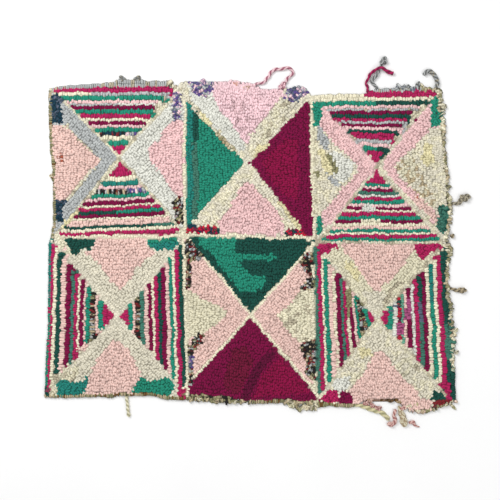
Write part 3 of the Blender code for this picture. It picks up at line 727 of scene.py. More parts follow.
def add_node(tree, kind, sockets=None, **settings):
    """Add a node with its settings; each socket gets a value or a link from another node's socket."""
    node = tree.nodes.new(kind)
    for setting, value in settings.items():
        setattr(node, setting, value)
    for socket, value in (sockets or {}).items():
        if isinstance(value, bpy.types.NodeSocket):
            tree.links.new(value, node.inputs[socket])
        else:
            node.inputs[socket].default_value = value
    return node


def rag_material(name, fibre, stitch, sheen, roughness, bump):
    """Cloth rag whose colour lies in its mesh, with fibres and knit stitches of given sizes."""
    existing = bpy.data.materials.get(name)
    if existing:
        return existing
    material = bpy.data.materials.new(name)
    material.use_nodes = True
    tree = material.node_tree
    shader = tree.nodes["Principled BSDF"]
    places = add_node(tree, "ShaderNodeTexCoord").outputs["Object"]
    rag = add_node(tree, "ShaderNodeAttribute", attribute_name="rag_colour")
    # Painted shade: a darker line down the middle of each loop and whipped turn, where the rag folds
    aside = add_node(
        tree, "ShaderNodeMath", {0: rag.outputs["Alpha"], 1: 0.5, 2: 0.16}, operation="COMPARE")
    # Cotton fibres of 0.02 mm are too fine to show, so the fluff is drawn as coarse as small tufts
    fluff = add_node(
        tree, "ShaderNodeTexNoise",
        {"Vector": places, "Scale": 1.0 / fibre, "Detail": 4.0, "Roughness": 0.65})
    knit = add_node(
        tree, "ShaderNodeTexVoronoi", {"Vector": places, "Scale": 1.0 / stitch},
        feature="SMOOTH_F1")
    # Rags fade in areas about as wide as a hand
    fading = add_node(
        tree, "ShaderNodeTexNoise", {"Vector": places, "Scale": 1.0 / (70.0 * MM), "Detail": 2.0})
    fleck = add_node(
        tree, "ShaderNodeMapRange",
        {"Value": fluff.outputs["Fac"], "From Min": 0.3, "From Max": 0.7, "To Min": 0.78,
         "To Max": 1.16})
    faded = add_node(
        tree, "ShaderNodeMapRange",
        {"Value": fading.outputs["Fac"], "From Min": 0.3, "From Max": 0.7, "To Min": 0.95,
         "To Max": 1.05})
    crease_shade = add_node(
        tree, "ShaderNodeMapRange",
        {"Value": aside.outputs["Value"], "To Min": 1.0, "To Max": 0.80})
    both = add_node(
        tree, "ShaderNodeMath", {0: fleck.outputs["Result"], 1: faded.outputs["Result"]},
        operation="MULTIPLY")
    shade = add_node(
        tree, "ShaderNodeMath", {0: both.outputs["Value"], 1: crease_shade.outputs["Result"]},
        operation="MULTIPLY")
    # Rag colour with the shade painted into the mesh and the painted crease line
    colour_and_painted_shade = add_node(
        tree, "ShaderNodeVectorMath", {0: rag.outputs["Color"], "Scale": shade.outputs["Value"]},
        operation="SCALE")
    relief = add_node(
        tree, "ShaderNodeMath", {0: fluff.outputs["Fac"], 1: knit.outputs["Distance"]},
        operation="ADD")
    raised = add_node(
        tree, "ShaderNodeBump",
        {"Height": relief.outputs["Value"], "Strength": bump, "Distance": 0.4 * MM})
    tree.links.new(colour_and_painted_shade.outputs["Vector"], shader.inputs["Base Color"])
    tree.links.new(raised.outputs["Normal"], shader.inputs["Normal"])
    shader.inputs["Roughness"].default_value = roughness
    shader.inputs["IOR"].default_value = 1.5
    shader.inputs["Specular IOR Level"].default_value = 0.2
    shader.inputs["Sheen Weight"].default_value = sheen
    shader.inputs["Sheen Roughness"].default_value = 0.5
    return material


def hooked_rag_strip():
    """Strips of worn knitted and woven cotton rag: matt, slightly fluffy, with a soft pale sheen."""
    return rag_material("hooked cotton rag strip", 0.9 * MM, 1.3 * MM, 0.05, 0.95, 0.6)


def whipped_rag_strip():
    """Woven cotton strip sewn tight over the rim: matt, darker and flatter than the loops."""
    return rag_material("whipped cotton rag strip", 1.1 * MM, 1.0 * MM, 0.04, 0.92, 0.8)


def twisted_rag_strand():
    """Torn rag strip twisted into a strand: matt, with frayed fibres along its turns."""
    return rag_material("twisted cotton rag strand", 0.7 * MM, 1.2 * MM, 0.15, 0.93, 0.7)


def woven_jute():
    """Plain-woven jute: coarse brown threads over and under, dull, hairy and uneven."""
    material = rag_material("woven jute cloth", 0.8 * MM, 1.0 * MM, 0.0, 0.97, 0.0)
    tree = material.node_tree
    shader = tree.nodes["Principled BSDF"]
    pitch = bpy.context.scene.rug_sizes.jute_pitch
    places = add_node(tree, "ShaderNodeTexCoord").outputs["Object"]
    threads = [
        add_node(
            tree, "ShaderNodeTexWave",
            {"Vector": places, "Scale": WAVE_BAND / pitch, "Distortion": 1.2, "Detail": 2.0,
             "Detail Scale": 3.0},
            bands_direction=direction)
        for direction in ("X", "Y")
    ]
    crossed = add_node(
        tree, "ShaderNodeMath", {0: threads[0].outputs["Fac"], 1: threads[1].outputs["Fac"]},
        operation="MAXIMUM")
    raised = add_node(
        tree, "ShaderNodeBump",
        {"Height": crossed.outputs["Value"], "Strength": 0.9, "Distance": 0.8 * MM})
    shade = add_node(
        tree, "ShaderNodeMapRange",
        {"Value": crossed.outputs["Value"], "From Min": 0.2, "To Min": 0.35, "To Max": 1.0})
    colour_and_painted_shade = shader.inputs["Base Color"].links[0].from_socket
    woven = add_node(
        tree, "ShaderNodeVectorMath", {0: colour_and_painted_shade, "Scale": shade.outputs["Result"]}, operation="SCALE")
    tree.links.new(woven.outputs["Vector"], shader.inputs["Base Color"])
    tree.links.new(raised.outputs["Normal"], shader.inputs["Normal"])
    return material


def painted_floor():
    """Smooth matt white floor: even and almost shadowless."""
    material = bpy.data.materials.new("matt white floor")
    material.use_nodes = True
    tree = material.node_tree
    shader = tree.nodes["Principled BSDF"]
    places = add_node(tree, "ShaderNodeTexCoord").outputs["Object"]
    grain = add_node(tree, "ShaderNodeTexNoise", {"Vector": places, "Scale": 3.0, "Detail": 3.0})
    tone = add_node(
        tree, "ShaderNodeMapRange", {"Value": grain.outputs["Fac"], "To Min": 0.86, "To Max": 0.9})
    tree.links.new(tone.outputs["Result"], shader.inputs["Base Color"])
    shader.inputs["Roughness"].default_value = 0.9
    return material


# Shared modelling

def finish_piece(name, mesh, material, replaced=()):
    """Put a finished mesh on the rug's body, in place of its CAD nodes."""
    mesh.materials.append(material)
    mesh.shade_smooth()
    piece = bpy.data.objects.new(name, mesh)
    bpy.context.scene.collection.objects.link(piece)
    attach(piece, "root")
    if replaced:
        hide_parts(*replaced)
    return piece


def colour_mesh(mesh, colours, folds=1.0):
    """Keep one colour for each vertex of a mesh, and how far across its strip of rag it lies."""
    layer = mesh.attributes.new("rag_colour", "FLOAT_COLOR", "POINT")
    shown = np.empty((len(mesh.vertices), 4), np.float32)
    shown[:, :3] = colours
    shown[:, 3] = folds
    layer.data.foreach_set("color", shown.ravel())


def order_faces(bm):
    """List faces by their corners, because an extrusion adds them in no fixed order."""
    bm.verts.index_update()
    count = len(bm.verts)
    bm.faces.sort(key=lambda face: face.verts[0].index * count + face.verts[1].index)


def make_loop_template():
    """One loop of rag, a soft closed hump of unit size: its points, faces and painted shading."""
    bm = bmesh.new()
    bmesh.ops.create_circle(bm, cap_ends=True, segments=6, radius=1.25)
    cap = list(bm.faces)
    for height, grown in LOOP_SWELL:
        raised = bmesh.ops.extrude_face_region(bm, geom=cap)["geom"]
        if cap[0].is_valid and height == LOOP_SWELL[-1][0]:
            bmesh.ops.delete(bm, geom=cap, context="FACES_ONLY")
        ring = [item for item in raised if isinstance(item, bmesh.types.BMVert)]
        cap = [item for item in raised if isinstance(item, bmesh.types.BMFace)]
        bmesh.ops.translate(bm, verts=ring, vec=(0.0, 0.0, height - ring[0].co.z))
        bmesh.ops.scale(bm, verts=ring, vec=(grown, grown, 1.0))
    bmesh.ops.recalc_face_normals(bm, faces=bm.faces)
    order_faces(bm)
    points = np.array([vertex.co for vertex in bm.verts])
    faces = [[vertex.index for vertex in face.verts] for face in bm.faces]
    bm.free()
    return points, faces, np.interp(points[:, 2], *LOOP_PAINTED_SHADING)


def join_copies(name, template, spots):
    """One mesh of many loops. A spot is x, y, low and high z, heading, length across, width along,
    lean across and along, and the red, green and blue of its two shades."""
    points, faces, shades = template
    spots = np.asarray(spots, float)
    x, y, low, high, heading, across, along, lean_across, lean_along = (
        spots[:, [column]] for column in range(9))
    rise = points[:, 2]
    out = points[:, 0] * across / 2 + rise * lean_across
    run = points[:, 1] * along / 2 + rise * lean_along
    cos, sin = np.cos(heading), np.sin(heading)
    places = np.stack(
        (x + run * cos - out * sin, y + run * sin + out * cos, low + rise * (high - low)), -1)
    count = len(points)
    copies = [
        [corner + turn * count for corner in face] for turn in range(len(spots)) for face in faces]
    mesh = bpy.data.meshes.new(name)
    mesh.from_pydata(places.reshape(-1, 3).tolist(), [], copies)
    flecks = np.random.default_rng(len(spots)).random((len(spots), count, 1)) < SECOND_SHADE
    # Each corner's colour is multiplied by the painted shading at its height on the hump
    colours = np.where(flecks, spots[:, None, 12:15], spots[:, None, 9:12]) * shades[None, :, None]
    folds = np.tile(points[:, 0], len(spots))
    colour_mesh(mesh, colours.reshape(-1, 3), 0.5 + folds / 2)
    return mesh


# Loop pile

def off_line(place, start, end, inside):
    """Distance of a place from a line, counted positive on the side where another place lies."""
    run = end - start
    side = run.cross(inside - start)
    return run.cross(place - start) / run.length * (1.0 if side > 0 else -1.0)


def rag_along(rags, share):
    """The rag at a share of a row's length."""
    if len(rags) == 1 or share < rags[1]:
        return rags[0]
    return rags[2]


class Hooking:
    """The loops of the whole rug, in chart squares, as they are hooked."""

    # Side of a cell in squares, and cells along a side of the chart with its margin
    CELL = 0.5
    SPAN = 1040

    def __init__(self, pile, draw):
        self.pile = pile
        self.draw = draw
        self.loops = []
        self.owner = np.full((self.SPAN, self.SPAN), -1, int)
        self.spacing = bpy.context.scene.rug_sizes.loop_spacing / SQUARE

    def on_pile(self, x, y):
        """Whether the pile reaches a place."""
        top = top_of(self.pile, *on_rug((x, y)))
        return top is not None and top > PILE_FROM

    def cells(self, x, y, heading, run, width):
        """The cells that a loop covers."""
        along = np.linspace(-run / 2, run / 2, 2 + int(run / self.CELL))
        across = np.linspace(-width / 2, width / 2, 2 + int(width / self.CELL))
        along, across = (side.ravel() for side in np.meshgrid(along, across))
        cos, sin = math.cos(heading), -math.sin(heading)
        right = ((x + along * cos - across * sin) / self.CELL).astype(int)
        down = ((y + along * sin + across * cos) / self.CELL).astype(int)
        return np.clip(down, 0, self.SPAN - 1), np.clip(right, 0, self.SPAN - 1)

    def hook(self, block, x, y, heading, run, width, rag, stray, crowd=ROW_CROWD):
        """Hook one loop, unless the place is full or off the pile."""
        covered = self.cells(x, y, heading, run, width)
        if (self.owner[covered] >= 0).mean() > crowd or not self.on_pile(x, y):
            return
        self.owner[covered] = len(self.loops)
        self.loops.append((block, x, y, heading, run, width, rag, stray))

    def row(self, block, start, end, width, rags, keep=None, stray=STRIPE_STRAY):
        """Hook a row of loops from start to end, leaving out places that aren't kept."""
        run = end - start
        count = max(1, round(run.length / self.spacing))
        heading = math.atan2(-run.y, run.x)
        phase = 0.5 if count < 3 else self.draw.uniform(0.2, 0.8)
        for turn in range(count):
            share = (turn + phase) / count
            place = start + run * share
            if keep is None or keep(place):
                self.hook(block, place.x, place.y, heading, run.length / count, width,
                          rag_along(rags, share), stray)

    def fill_gaps(self):
        """Hook a loop of its neighbour's rag wherever a gap is left between rows."""
        size = self.spacing
        bare = np.argwhere(self.owner < 0) * self.CELL
        window = round(GAP_REACH / self.CELL)
        for y, x in bare[::3]:
            down, right = int(y / self.CELL), int(x / self.CELL)
            near = self.owner[max(down - window, 0):down + window + 1,
                              max(right - window, 0):right + window + 1]
            near = near[near >= 0]
            if not len(near):
                continue
            neighbour = self.loops[near[len(near) // 2]]
            self.hook(neighbour[0], x, y, self.draw.uniform(0, math.pi), size, size * 1.2,
                      neighbour[6], FILL_STRAY, GAP_CROWD)


def hook_fill(hooking, name, first, last, centre, frame_side, rag, arm_rows, on_rim):
    """Fill a plain panel: rows along its two arms, then rows along its side in what is left."""
    reach = -RIM_OVERRUN if on_rim else -INNER_OVERRUN

    def within(place):
        return on_rim or off_line(place, *frame_side, centre) >= OUTLINE_ROW / 2

    for corner, other in ((first, last), (last, first)):
        run = (centre - corner).normalized()
        inward = Vector((-run.y, run.x))
        if inward.dot(other - corner) < 0:
            inward = -inward
        for row in range(arm_rows):
            offset = OUTLINE_ROW / 2 + (row + 0.5) * FILL_ROW
            start = corner - run * RIM_OVERRUN + inward * offset
            hooking.row(
                name, start, centre + inward * offset, FILL_ROW, (rag,),
                lambda place: off_line(place, other, centre, first.lerp(last, 0.5)) >= offset - 0.2
                and off_line(place, first, last, centre) >= reach and within(place), FILL_STRAY)
    taken = OUTLINE_ROW / 2 + arm_rows * FILL_ROW
    depth = off_line(centre, first, last, centre)
    run = last - first
    into = Vector((-run.y, run.x)).normalized()
    if into.dot(centre - first) < 0:
        into = -into
    for row in range(int((depth - reach) / FILL_ROW)):
        offset = into * (reach + (row + 0.5) * FILL_ROW)
        beyond = run.normalized() * RIM_OVERRUN
        hooking.row(
            name, first - beyond + offset, last + beyond + offset, FILL_ROW, (rag,),
            lambda place: min(off_line(place, first, centre, last),
                              off_line(place, last, centre, first)) >= taken and within(place),
            FILL_STRAY)


def hook_stripes(hooking, name, outer, inner, rows, on_rim):
    """Hook a striped panel, row by row from its outer to its inner row and on to the middle."""
    first, last, inner_first, inner_last = (Vector(place) for place in (*outer, *inner))
    total = off_line(inner_first.lerp(inner_last, 0.5), first, last, inner_first)
    beyond = rows[:1] * 2 if on_rim else ()
    depth = -sum(row[0] for row in beyond)
    for width, *rags in beyond + rows:
        parts = math.ceil(width / WIDEST_STRIPE_ROW)
        for part in range(parts):
            share = (depth + width / parts * (part + 0.5)) / total
            start, end = first.lerp(inner_first, share), last.lerp(inner_last, share)
            run = end - start
            if run.dot(last - first) < 0:
                return
            if run.length > 2 * STRIPE_END_GAP + 1.0:
                gap = run.normalized() * STRIPE_END_GAP
                start, end = start + gap, end - gap
            hooking.row(name, start, end, width / parts, rags)
        depth += width


def block_sides(corners):
    """Corners of a block two by two for each side."""
    top_left, top_right, low_left, low_right = (Vector(corner) for corner in corners)
    return {
        "top": (top_left, top_right), "bottom": (low_left, low_right),
        "left": (top_left, low_left), "right": (top_right, low_right),
    }


def at_rim(name, side):
    """Whether a side of a block is the rug's rim, told by the block's name."""
    return side in name.replace("low", "bottom").split("_")


def hook_rug(pile):
    """All loops of the rug: outlines first, then stripes, plain panels and what is left between."""
    hooking = Hooking(pile, random.Random(5))
    for name, block in BLOCKS.items():
        frame_rag, diagonal_rag = block["rags"]
        lines = [
            (*corners, frame_rag) for side, corners in block_sides(block["corners"]).items()
            if not at_rim(name, side)]
        lines += [
            (Vector(end), Vector(block["centre"]), diagonal_rag) for end in block["diagonals"]]
        for start, end, rag in lines:
            hooking.row(name, start, end, OUTLINE_ROW, (rag,), stray=OUTLINE_STRAY)
    for name, block in BLOCKS.items():
        for side in SIDES:
            if len(block[side]) == 3:
                hook_stripes(hooking, name, *block[side], at_rim(name, side))
    for name, block in BLOCKS.items():
        frame_sides = block_sides(block["corners"])
        for side, (first, last) in block_sides(block["diagonals"]).items():
            if len(block[side]) == 2:
                hook_fill(hooking, name, first, last, Vector(block["centre"]), frame_sides[side],
                          *block[side], at_rim(name, side))
    hooking.fill_gaps()
    return hooking.loops


def inside(outline, x, y):
    """Which places lie inside an outline."""
    found = np.zeros(len(x), bool)
    for (ax, ay), (bx, by) in zip(outline, outline[1:] + outline[:1]):
        if ay == by:
            continue
        crossed = (ay > y) != (by > y)
        found ^= crossed & (x < (bx - ax) * (y - ay) / (by - ay) + ax)
    return found


def wander(x, y, seed):
    """How far hand hooking strays from the chart at a place, in squares."""
    coarse = noise.noise(Vector((x / 24, y / 24, seed)))
    fine = noise.noise(Vector((x / 7, y / 7, seed + 9)))
    return 1.2 * coarse + 1.1 * fine


def loop_spots(block, loops, pile, draw):
    """Spot of every loop of one block on the rug, with its colour."""
    sizes = bpy.context.scene.rug_sizes
    across = np.array([loop[1] + wander(loop[1], loop[2], 3.1) for loop in loops])
    down = np.array([loop[2] + wander(loop[1], loop[2], 57.7) for loop in loops])
    rags = [loop[6] for loop in loops]
    for rag, outline in block["patches"]:
        for index in np.flatnonzero(inside(outline, across, down)):
            rags[index] = rag
    spots = []
    for loop, rag, (px, py) in zip(loops, rags, on_rug(np.stack((across, down), -1))):
        heading, run, width, _, stray = loop[3:]
        rag = worn_rag(rag, loop[1], loop[2], draw)
        colour = rag_colour(rag, draw)
        slip = draw.gauss(0.0, ROW_SLIP)
        px += draw.gauss(0.0, PLACE_STRAY) - slip * math.sin(heading)
        py += draw.gauss(0.0, PLACE_STRAY) + slip * math.cos(heading)
        turn = draw.gauss(0.0, stray)
        growth = 1.0 + draw.gauss(0.0, GROWTH_STRAY)
        rise = draw.gauss(0.0, HEIGHT_STRAY)
        leans = (draw.gauss(0.0, LEAN_STRAY), draw.gauss(0.0, LEAN_STRAY))
        top = top_of(pile, px, py)
        top = USUAL_TOP if top is None else max(top, LOWEST_TOP)
        spots.append((
            px, py, LOOP_FOOT, top + sizes.loop_proud + rise, heading + turn,
            width * SQUARE * LOOP_ACROSS * growth, run * SQUARE * LOOP_ALONG / growth, *leans,
            *colour,
            *rag_colour(rag, draw)))
    return spots


class RUG_OT_loop_pile(bpy.types.Operator):
    """Hook the loops of the six blocks"""

    bl_idname = "rug.loop_pile"
    bl_label = "Hook the loop pile"

    def execute(self, context):
        template = make_loop_template()
        pile = tree_of("loop_pile")
        loops = hook_rug(pile)
        draw = random.Random(100)
        for name, block in BLOCKS.items():
            own = [loop for loop in loops if loop[0] == name]
            spots = loop_spots(block, own, pile, draw)
            mesh = join_copies(f"loops_{name}", template, spots)
            finish_piece(
                f"loops_{name}", mesh, hooked_rag_strip(), ("loop_pile",))
        return {"FINISHED"}


def sheet_between(name, tree, box, step, low, high):
    """A closed sheet from one height to another under all places that a sub-part covers."""
    size = box[1] - box[0]
    bm = bmesh.new()
    bmesh.ops.create_grid(
        bm, x_segments=round(size.x / step), y_segments=round(size.y / step), size=0.5)
    bmesh.ops.scale(bm, verts=bm.verts, vec=(size.x, size.y, 1.0))
    bmesh.ops.translate(bm, verts=bm.verts, vec=((box[0] + box[1]) / 2).xy.to_3d())
    outside = [vertex for vertex in bm.verts if top_of(tree, *vertex.co.xy) is None]
    bmesh.ops.delete(bm, geom=outside, context="VERTS")
    sheet = bmesh.ops.extrude_face_region(bm, geom=list(bm.faces))["geom"]
    upper = [item for item in sheet if isinstance(item, bmesh.types.BMVert)]
    bmesh.ops.translate(bm, verts=upper, vec=(0.0, 0.0, high - low))
    bmesh.ops.translate(bm, verts=bm.verts, vec=(0.0, 0.0, low))
    bmesh.ops.recalc_face_normals(bm, faces=bm.faces)
    order_faces(bm)
    mesh = bpy.data.meshes.new(name)
    bm.to_mesh(mesh)
    bm.free()
    return mesh


def nearest_loops():
    """Search tree of the loops' places, and the colours of their crowns, painted highlight included."""
    count = len(make_loop_template()[0])
    places, colours = [], []
    for name in BLOCKS:
        loops = bpy.data.objects[f"loops_{name}"].data
        spots = np.empty(len(loops.vertices) * 3, np.float32)
        loops.vertices.foreach_get("co", spots)
        shown = np.empty(len(loops.vertices) * 4, np.float32)
        loops.attributes["rag_colour"].data.foreach_get("color", shown)
        places.append(spots.reshape(-1, count, 3).mean(1))
        colours.append(shown.reshape(-1, count, 4)[:, -1, :3])
    places, colours = np.concatenate(places), np.concatenate(colours)
    nearest = KDTree(len(places))
    for index, place in enumerate(places):
        nearest.insert((place[0], place[1], 0.0), index)
    nearest.balance()
    return nearest, colours


class RUG_OT_loop_roots(bpy.types.Operator):
    """Fill the pile below the loops' tops with their packed roots"""

    bl_idname = "rug.loop_roots"
    bl_label = "Pack the loops' roots"

    def execute(self, context):
        pile = tree_of("loop_pile")
        mesh = sheet_between(
            "packed_loop_roots", pile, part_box("loop_pile"), *ROOTS)
        nearest, colours = nearest_loops()
        # Painted shade: roots take their nearest loop's crown colour, darkened as shade between loops
        shown = np.array([
            colours[nearest.find((vertex.co.x, vertex.co.y, 0.0))[1]] for vertex in mesh.vertices])
        colour_mesh(mesh, shown * ROOTS_PAINTED_SHADE)
        finish_piece(
            "packed_loop_roots", mesh, hooked_rag_strip(), ("loop_pile",))
        return {"FINISHED"}


# Whipped rims

def rim_reach(tree, along, outward, height):
    """How far out a sub-part reaches at a place along a rim, at one height above the floor."""
    axis = Vector((0, 1, 0)) if outward.x else Vector((1, 0, 0))
    start = axis * along + outward * 2.0 + Vector((0, 0, height))
    hit = tree.ray_cast(start, -outward)[0]
    return None if hit is None else hit.dot(outward)


def rim_spots(name, pile, draw):
    """Turns of rag along one whipped rim."""
    sizes = bpy.context.scene.rug_sizes
    outward = RIM_SIDES[name]
    binding = tree_of(name)
    low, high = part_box(name)
    axis = 1 if outward.x else 0
    across = Vector((0, 1, 0)) if outward.x else Vector((1, 0, 0))
    plain, changes = RIM_RAGS[name]
    heading = math.atan2(across.y, across.x)
    count = round((high[axis] - low[axis]) / sizes.rib_spacing)
    spots = []
    for turn in range(count):
        along = low[axis] + (high[axis] - low[axis]) * (turn + 0.5) / count
        square = along / SQUARE * (-1 if axis else 1) + CHART_MIDDLE[axis]
        outer = rim_reach(binding, along, outward, RIM_HEIGHT)
        inner = rim_reach(pile, along, outward, RIM_HEIGHT)
        if outer is None:
            continue
        inner = outer - USUAL_RIM if inner is None else min(inner, outer - NARROW_RIM)
        inner = max(inner, outer - WIDE_RIM) - RIM_GRIP
        rag = next((rag for start, end, rag in changes if start <= square <= end), plain)
        ragged = 1.0 if rag in RAGGED else 0.0
        rag = worn_rag(rag, square, axis * 50.0, draw)
        turns = max(1, round((outer - inner) / LONGEST_TURN))
        for part in range(turns):
            length = (outer - inner) / turns
            middle = inner + length * (part + 0.5) + draw.gauss(0.0, (0.3 + 1.5 * ragged) * MM)
            place = across * (along + draw.gauss(0.0, (0.5 + ragged) * MM)) + outward * middle
            spots.append((
                place.x, place.y, 0.2 * MM,
                TURN_TOP - TURN_DROP * part + draw.gauss(0.0, (0.5 + 1.2 * ragged) * MM),
                heading + draw.gauss(0.0, 0.12 + 0.6 * ragged), length * (1.04 if turns == 1 else 1.25),
                sizes.rib_spacing * (1.12 + 0.3 * ragged) * (1 + draw.gauss(0.0, 0.08 + 0.2 * ragged)),
                draw.gauss(0.0, (0.4 + ragged) * MM), draw.gauss(0.0, (0.5 + ragged) * MM),
                *rag_colour(rag, draw, 0.12 + 0.2 * ragged), *rag_colour(rag, draw, 0.12)))
    return spots


class RUG_OT_whipped_rims(bpy.types.Operator):
    """Whip rag round the rims, wider where it stands out in frills"""

    bl_idname = "rug.whipped_rims"
    bl_label = "Whip the rims"

    def execute(self, context):
        draw = random.Random(7)
        template = make_loop_template()
        pile = tree_of("loop_pile")
        for name in RIM_SIDES:
            mesh = join_copies(f"whipping{name[7:]}", template, rim_spots(name, pile, draw))
            finish_piece(
                f"whipping{name[7:]}", mesh, whipped_rag_strip(), (name,))
        return {"FINISHED"}


# Ground cloth

class RUG_OT_ground_cloth(bpy.types.Operator):
    """Weave the ground cloth, with the rows of rag showing through its back"""

    bl_idname = "rug.ground_cloth"
    bl_label = "Weave the ground cloth"

    def execute(self, context):
        mesh = sheet_between(
            "jute_ground_cloth", tree_of("ground_cloth"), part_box("ground_cloth"), *JUTE)
        self.colour_back(mesh)
        cloth = finish_piece(
            "jute_ground_cloth", mesh, woven_jute(), ("ground_cloth",))
        return {"FINISHED"}

    def colour_back(self, mesh):
        """Colour bare jute brown, the rest by the rags between its threads, dimmed as painted shade."""
        nearest, colours = nearest_loops()
        brown = np.array(bpy.context.scene.rag_colours.brown)
        shown = np.empty((len(mesh.vertices), 3))
        for index, vertex in enumerate(mesh.vertices):
            spot, found, distance = nearest.find((vertex.co.x, vertex.co.y, 0.0))
            if distance > TORN_REACH:
                shown[index] = brown
            else:
                # Painted shade: the loops' crown colour is dimmed and mixed with brown
                share = 0.25 if vertex.co.z > sum(JUTE[1:]) / 2 else 0.35
                shown[index] = brown * share + colours[found] * (0.9 - share)
        colour_mesh(mesh, shown)


# Loose ends

def smooth_route(route, spacing):
    """Points a set way apart on a smooth curve through the rows of a route."""
    rows = [Vector(row) for row in route]
    ends = [rows[0] * 2 - rows[1]] + rows + [rows[-1] * 2 - rows[-2]]
    steps = 12
    fine = []
    for before, first, last, after in zip(ends, ends[1:], ends[2:], ends[3:]):
        for step in range(steps):
            t = step / steps
            fine.append(0.5 * (
                first * 2 + (last - before) * t
                + (before * 2 - first * 5 + last * 4 - after) * t * t
                + (first * 3 - before - last * 3 + after) * t * t * t
            ))
    fine.append(rows[-1])
    points = [fine[0]]
    for point in fine[1:]:
        if (point.xyz - points[-1].xyz).length >= spacing:
            points.append(point)
    if (points[-1].xyz - rows[-1].xyz).length > spacing / 4:
        points.append(rows[-1])
    return points


def loft(bm, rings):
    """Bridge closed rings of points, one after another, and close both ends."""
    loops = []
    for ring in rings:
        points = [bm.verts.new(point) for point in ring]
        loops.append([bm.edges.new(pair) for pair in zip(points, points[1:] + points[:1])])
    for low, high in zip(loops, loops[1:]):
        bmesh.ops.bridge_loops(bm, edges=low + high)
    for end in (loops[0], loops[-1]):
        bmesh.ops.contextual_create(bm, geom=end)


def add_strand(bm, colours, rows, rags, lobes, twist, draw, sides=14, depth=0.13):
    """Loft a twisted strand through rows of place, half width and half height. Its second colour lies
    in its folds: mostly a darker colour painted in as shade, for a few strands a second rag."""
    rings = []
    travelled = 0.0
    for index, (place, wide, high) in enumerate(rows):
        ahead = rows[min(index + 1, len(rows) - 1)][0]
        behind = rows[max(index - 1, 0)][0]
        run = (ahead - behind).normalized()
        across = run.cross(Vector((0, 0, 1)))
        across = across.normalized() if across.length > 0.05 else Vector((1, 0, 0))
        rise = across.cross(run)
        if index:
            travelled += (place - rows[index - 1][0]).length
        phase = math.tau * travelled / twist
        crest, fold_rag_and_shade = (Vector(rag_colour(rag, draw, 0.1)) for rag in rags)
        ring = []
        for side in range(sides):
            angle = math.tau * side / sides
            fold = math.cos(lobes * angle - phase)
            swell = 1.0 - depth + depth * fold
            point = place + across * (wide * swell * math.cos(angle)) + rise * (
                high * swell * math.sin(angle))
            point.z = max(point.z, 0.15 * MM)
            ring.append(point)
            # Folds take the second colour: mostly painted shade, for a few strands a second rag
            colours.append(tuple(fold_rag_and_shade.lerp(crest, 0.5 + 0.5 * fold)))
        rings.append(ring)
    loft(bm, rings)


def finish_strands(name, bm, colours, replaced):
    """Turn lofted strands into one finished piece."""
    bmesh.ops.recalc_face_normals(bm, faces=bm.faces)
    mesh = bpy.data.meshes.new(name)
    bm.to_mesh(mesh)
    bm.free()
    colour_mesh(mesh, np.array(colours))
    return finish_piece(name, mesh, twisted_rag_strand(), replaced)


def wound_knot(middle, length, width, height, turn, thickness):
    """Rows of a strand wound into an overhand knot of a given size, along a trefoil curve."""
    steps = 48
    rows = []
    radius = thickness / 2
    for step in range(steps + 1):
        t = math.tau * step / steps
        x = (math.sin(t) + 2 * math.sin(2 * t)) / TREFOIL_REACH * (length / 2 - radius)
        y = (math.cos(t) - 2 * math.cos(2 * t)) / TREFOIL_REACH * (width / 2 - radius)
        z = height / 2 - math.sin(3 * t) * (height / 2 - radius)
        place = Vector((
            middle.x + x * math.cos(turn) - y * math.sin(turn),
            middle.y + x * math.sin(turn) + y * math.cos(turn), z))
        rows.append((place, radius, radius))
    return rows


class RUG_OT_short_ends(bpy.types.Operator):
    """Twist the short rag ends and tie their knots"""

    bl_idname = "rug.short_ends"
    bl_label = "Tie knots and short ends"

    def execute(self, context):
        draw = random.Random(21)
        for name, (rags, lobes, twist, route) in SHORT_ENDS.items():
            bm, colours = bmesh.new(), []
            rows = [
                (Vector((x, y, height / 2 + 0.2)) * MM, width / 2 * MM, height / 2 * MM)
                for x, y, width, height in smooth_route(route, 2.5)]
            add_strand(bm, colours, rows, rags, lobes, twist * MM, draw, 12, 0.16)
            for knot, x, y, length, width, height, turn, thickness in KNOTS:
                if knot == name:
                    wound = wound_knot(
                        Vector((x, y)) * MM, length * MM, width * MM, height * MM,
                        math.radians(turn), thickness * MM)
                    add_strand(bm, colours, wound, rags, 2, 15.0 * MM, draw, 10)
            finish_strands(
                f"twisted_{name}", bm, colours, (name,))
        return {"FINISHED"}


class RUG_OT_rim_knots(bpy.types.Operator):
    """Tie the knobs of rag at the rims"""

    bl_idname = "rug.rim_knots"
    bl_label = "Tie the rims' knobs"

    def execute(self, context):
        draw = random.Random(31)
        bm, colours = bmesh.new(), []
        for place, length, width, rags in RIM_KNOTS:
            wound = wound_knot(
                Vector(on_rug(place)), length * MM, width * MM, 11.0 * MM, draw.uniform(-0.6, 0.6),
                6.5 * MM)
            add_strand(bm, colours, wound, rags, 2, 12.0 * MM, draw, 8)
        finish_strands("rim_knobs", bm, colours, ())
        return {"FINISHED"}


class RUG_OT_loose_ends(bpy.types.Operator):
    """Lay the four long loose ends of rag"""

    bl_idname = "rug.loose_ends"
    bl_label = "Lay the loose ends"

    def execute(self, context):
        draw = random.Random(11)
        for name, (diameter, rags, lobes, twist, route) in LOOSE_ENDS.items():
            points = [Vector(row) for row in smooth_route(route, 2.2 * MM)]
            rows = [(p.xyz, diameter / 2 * p.w, diameter / 2 * p.w) for p in points]
            bm, colours = bmesh.new(), []
            add_strand(bm, colours, rows, rags, lobes, twist, draw, 16)
            strand = finish_strands(f"strand{name[9:]}", bm, colours, (name,))
        return {"FINISHED"}


# Stage

def add_softbox(name, place, size, power):
    """A large soft light that faces the rug's middle."""
    light = bpy.data.lights.new(name, "AREA")
    light.shape = "SQUARE"
    light.size = size
    light.energy = power
    lamp = bpy.data.objects.new(name, light)
    lamp.location = place
    lamp.rotation_euler = (-Vector(place)).to_track_quat("-Z", "Y").to_euler()
    bpy.context.scene.collection.objects.link(lamp)


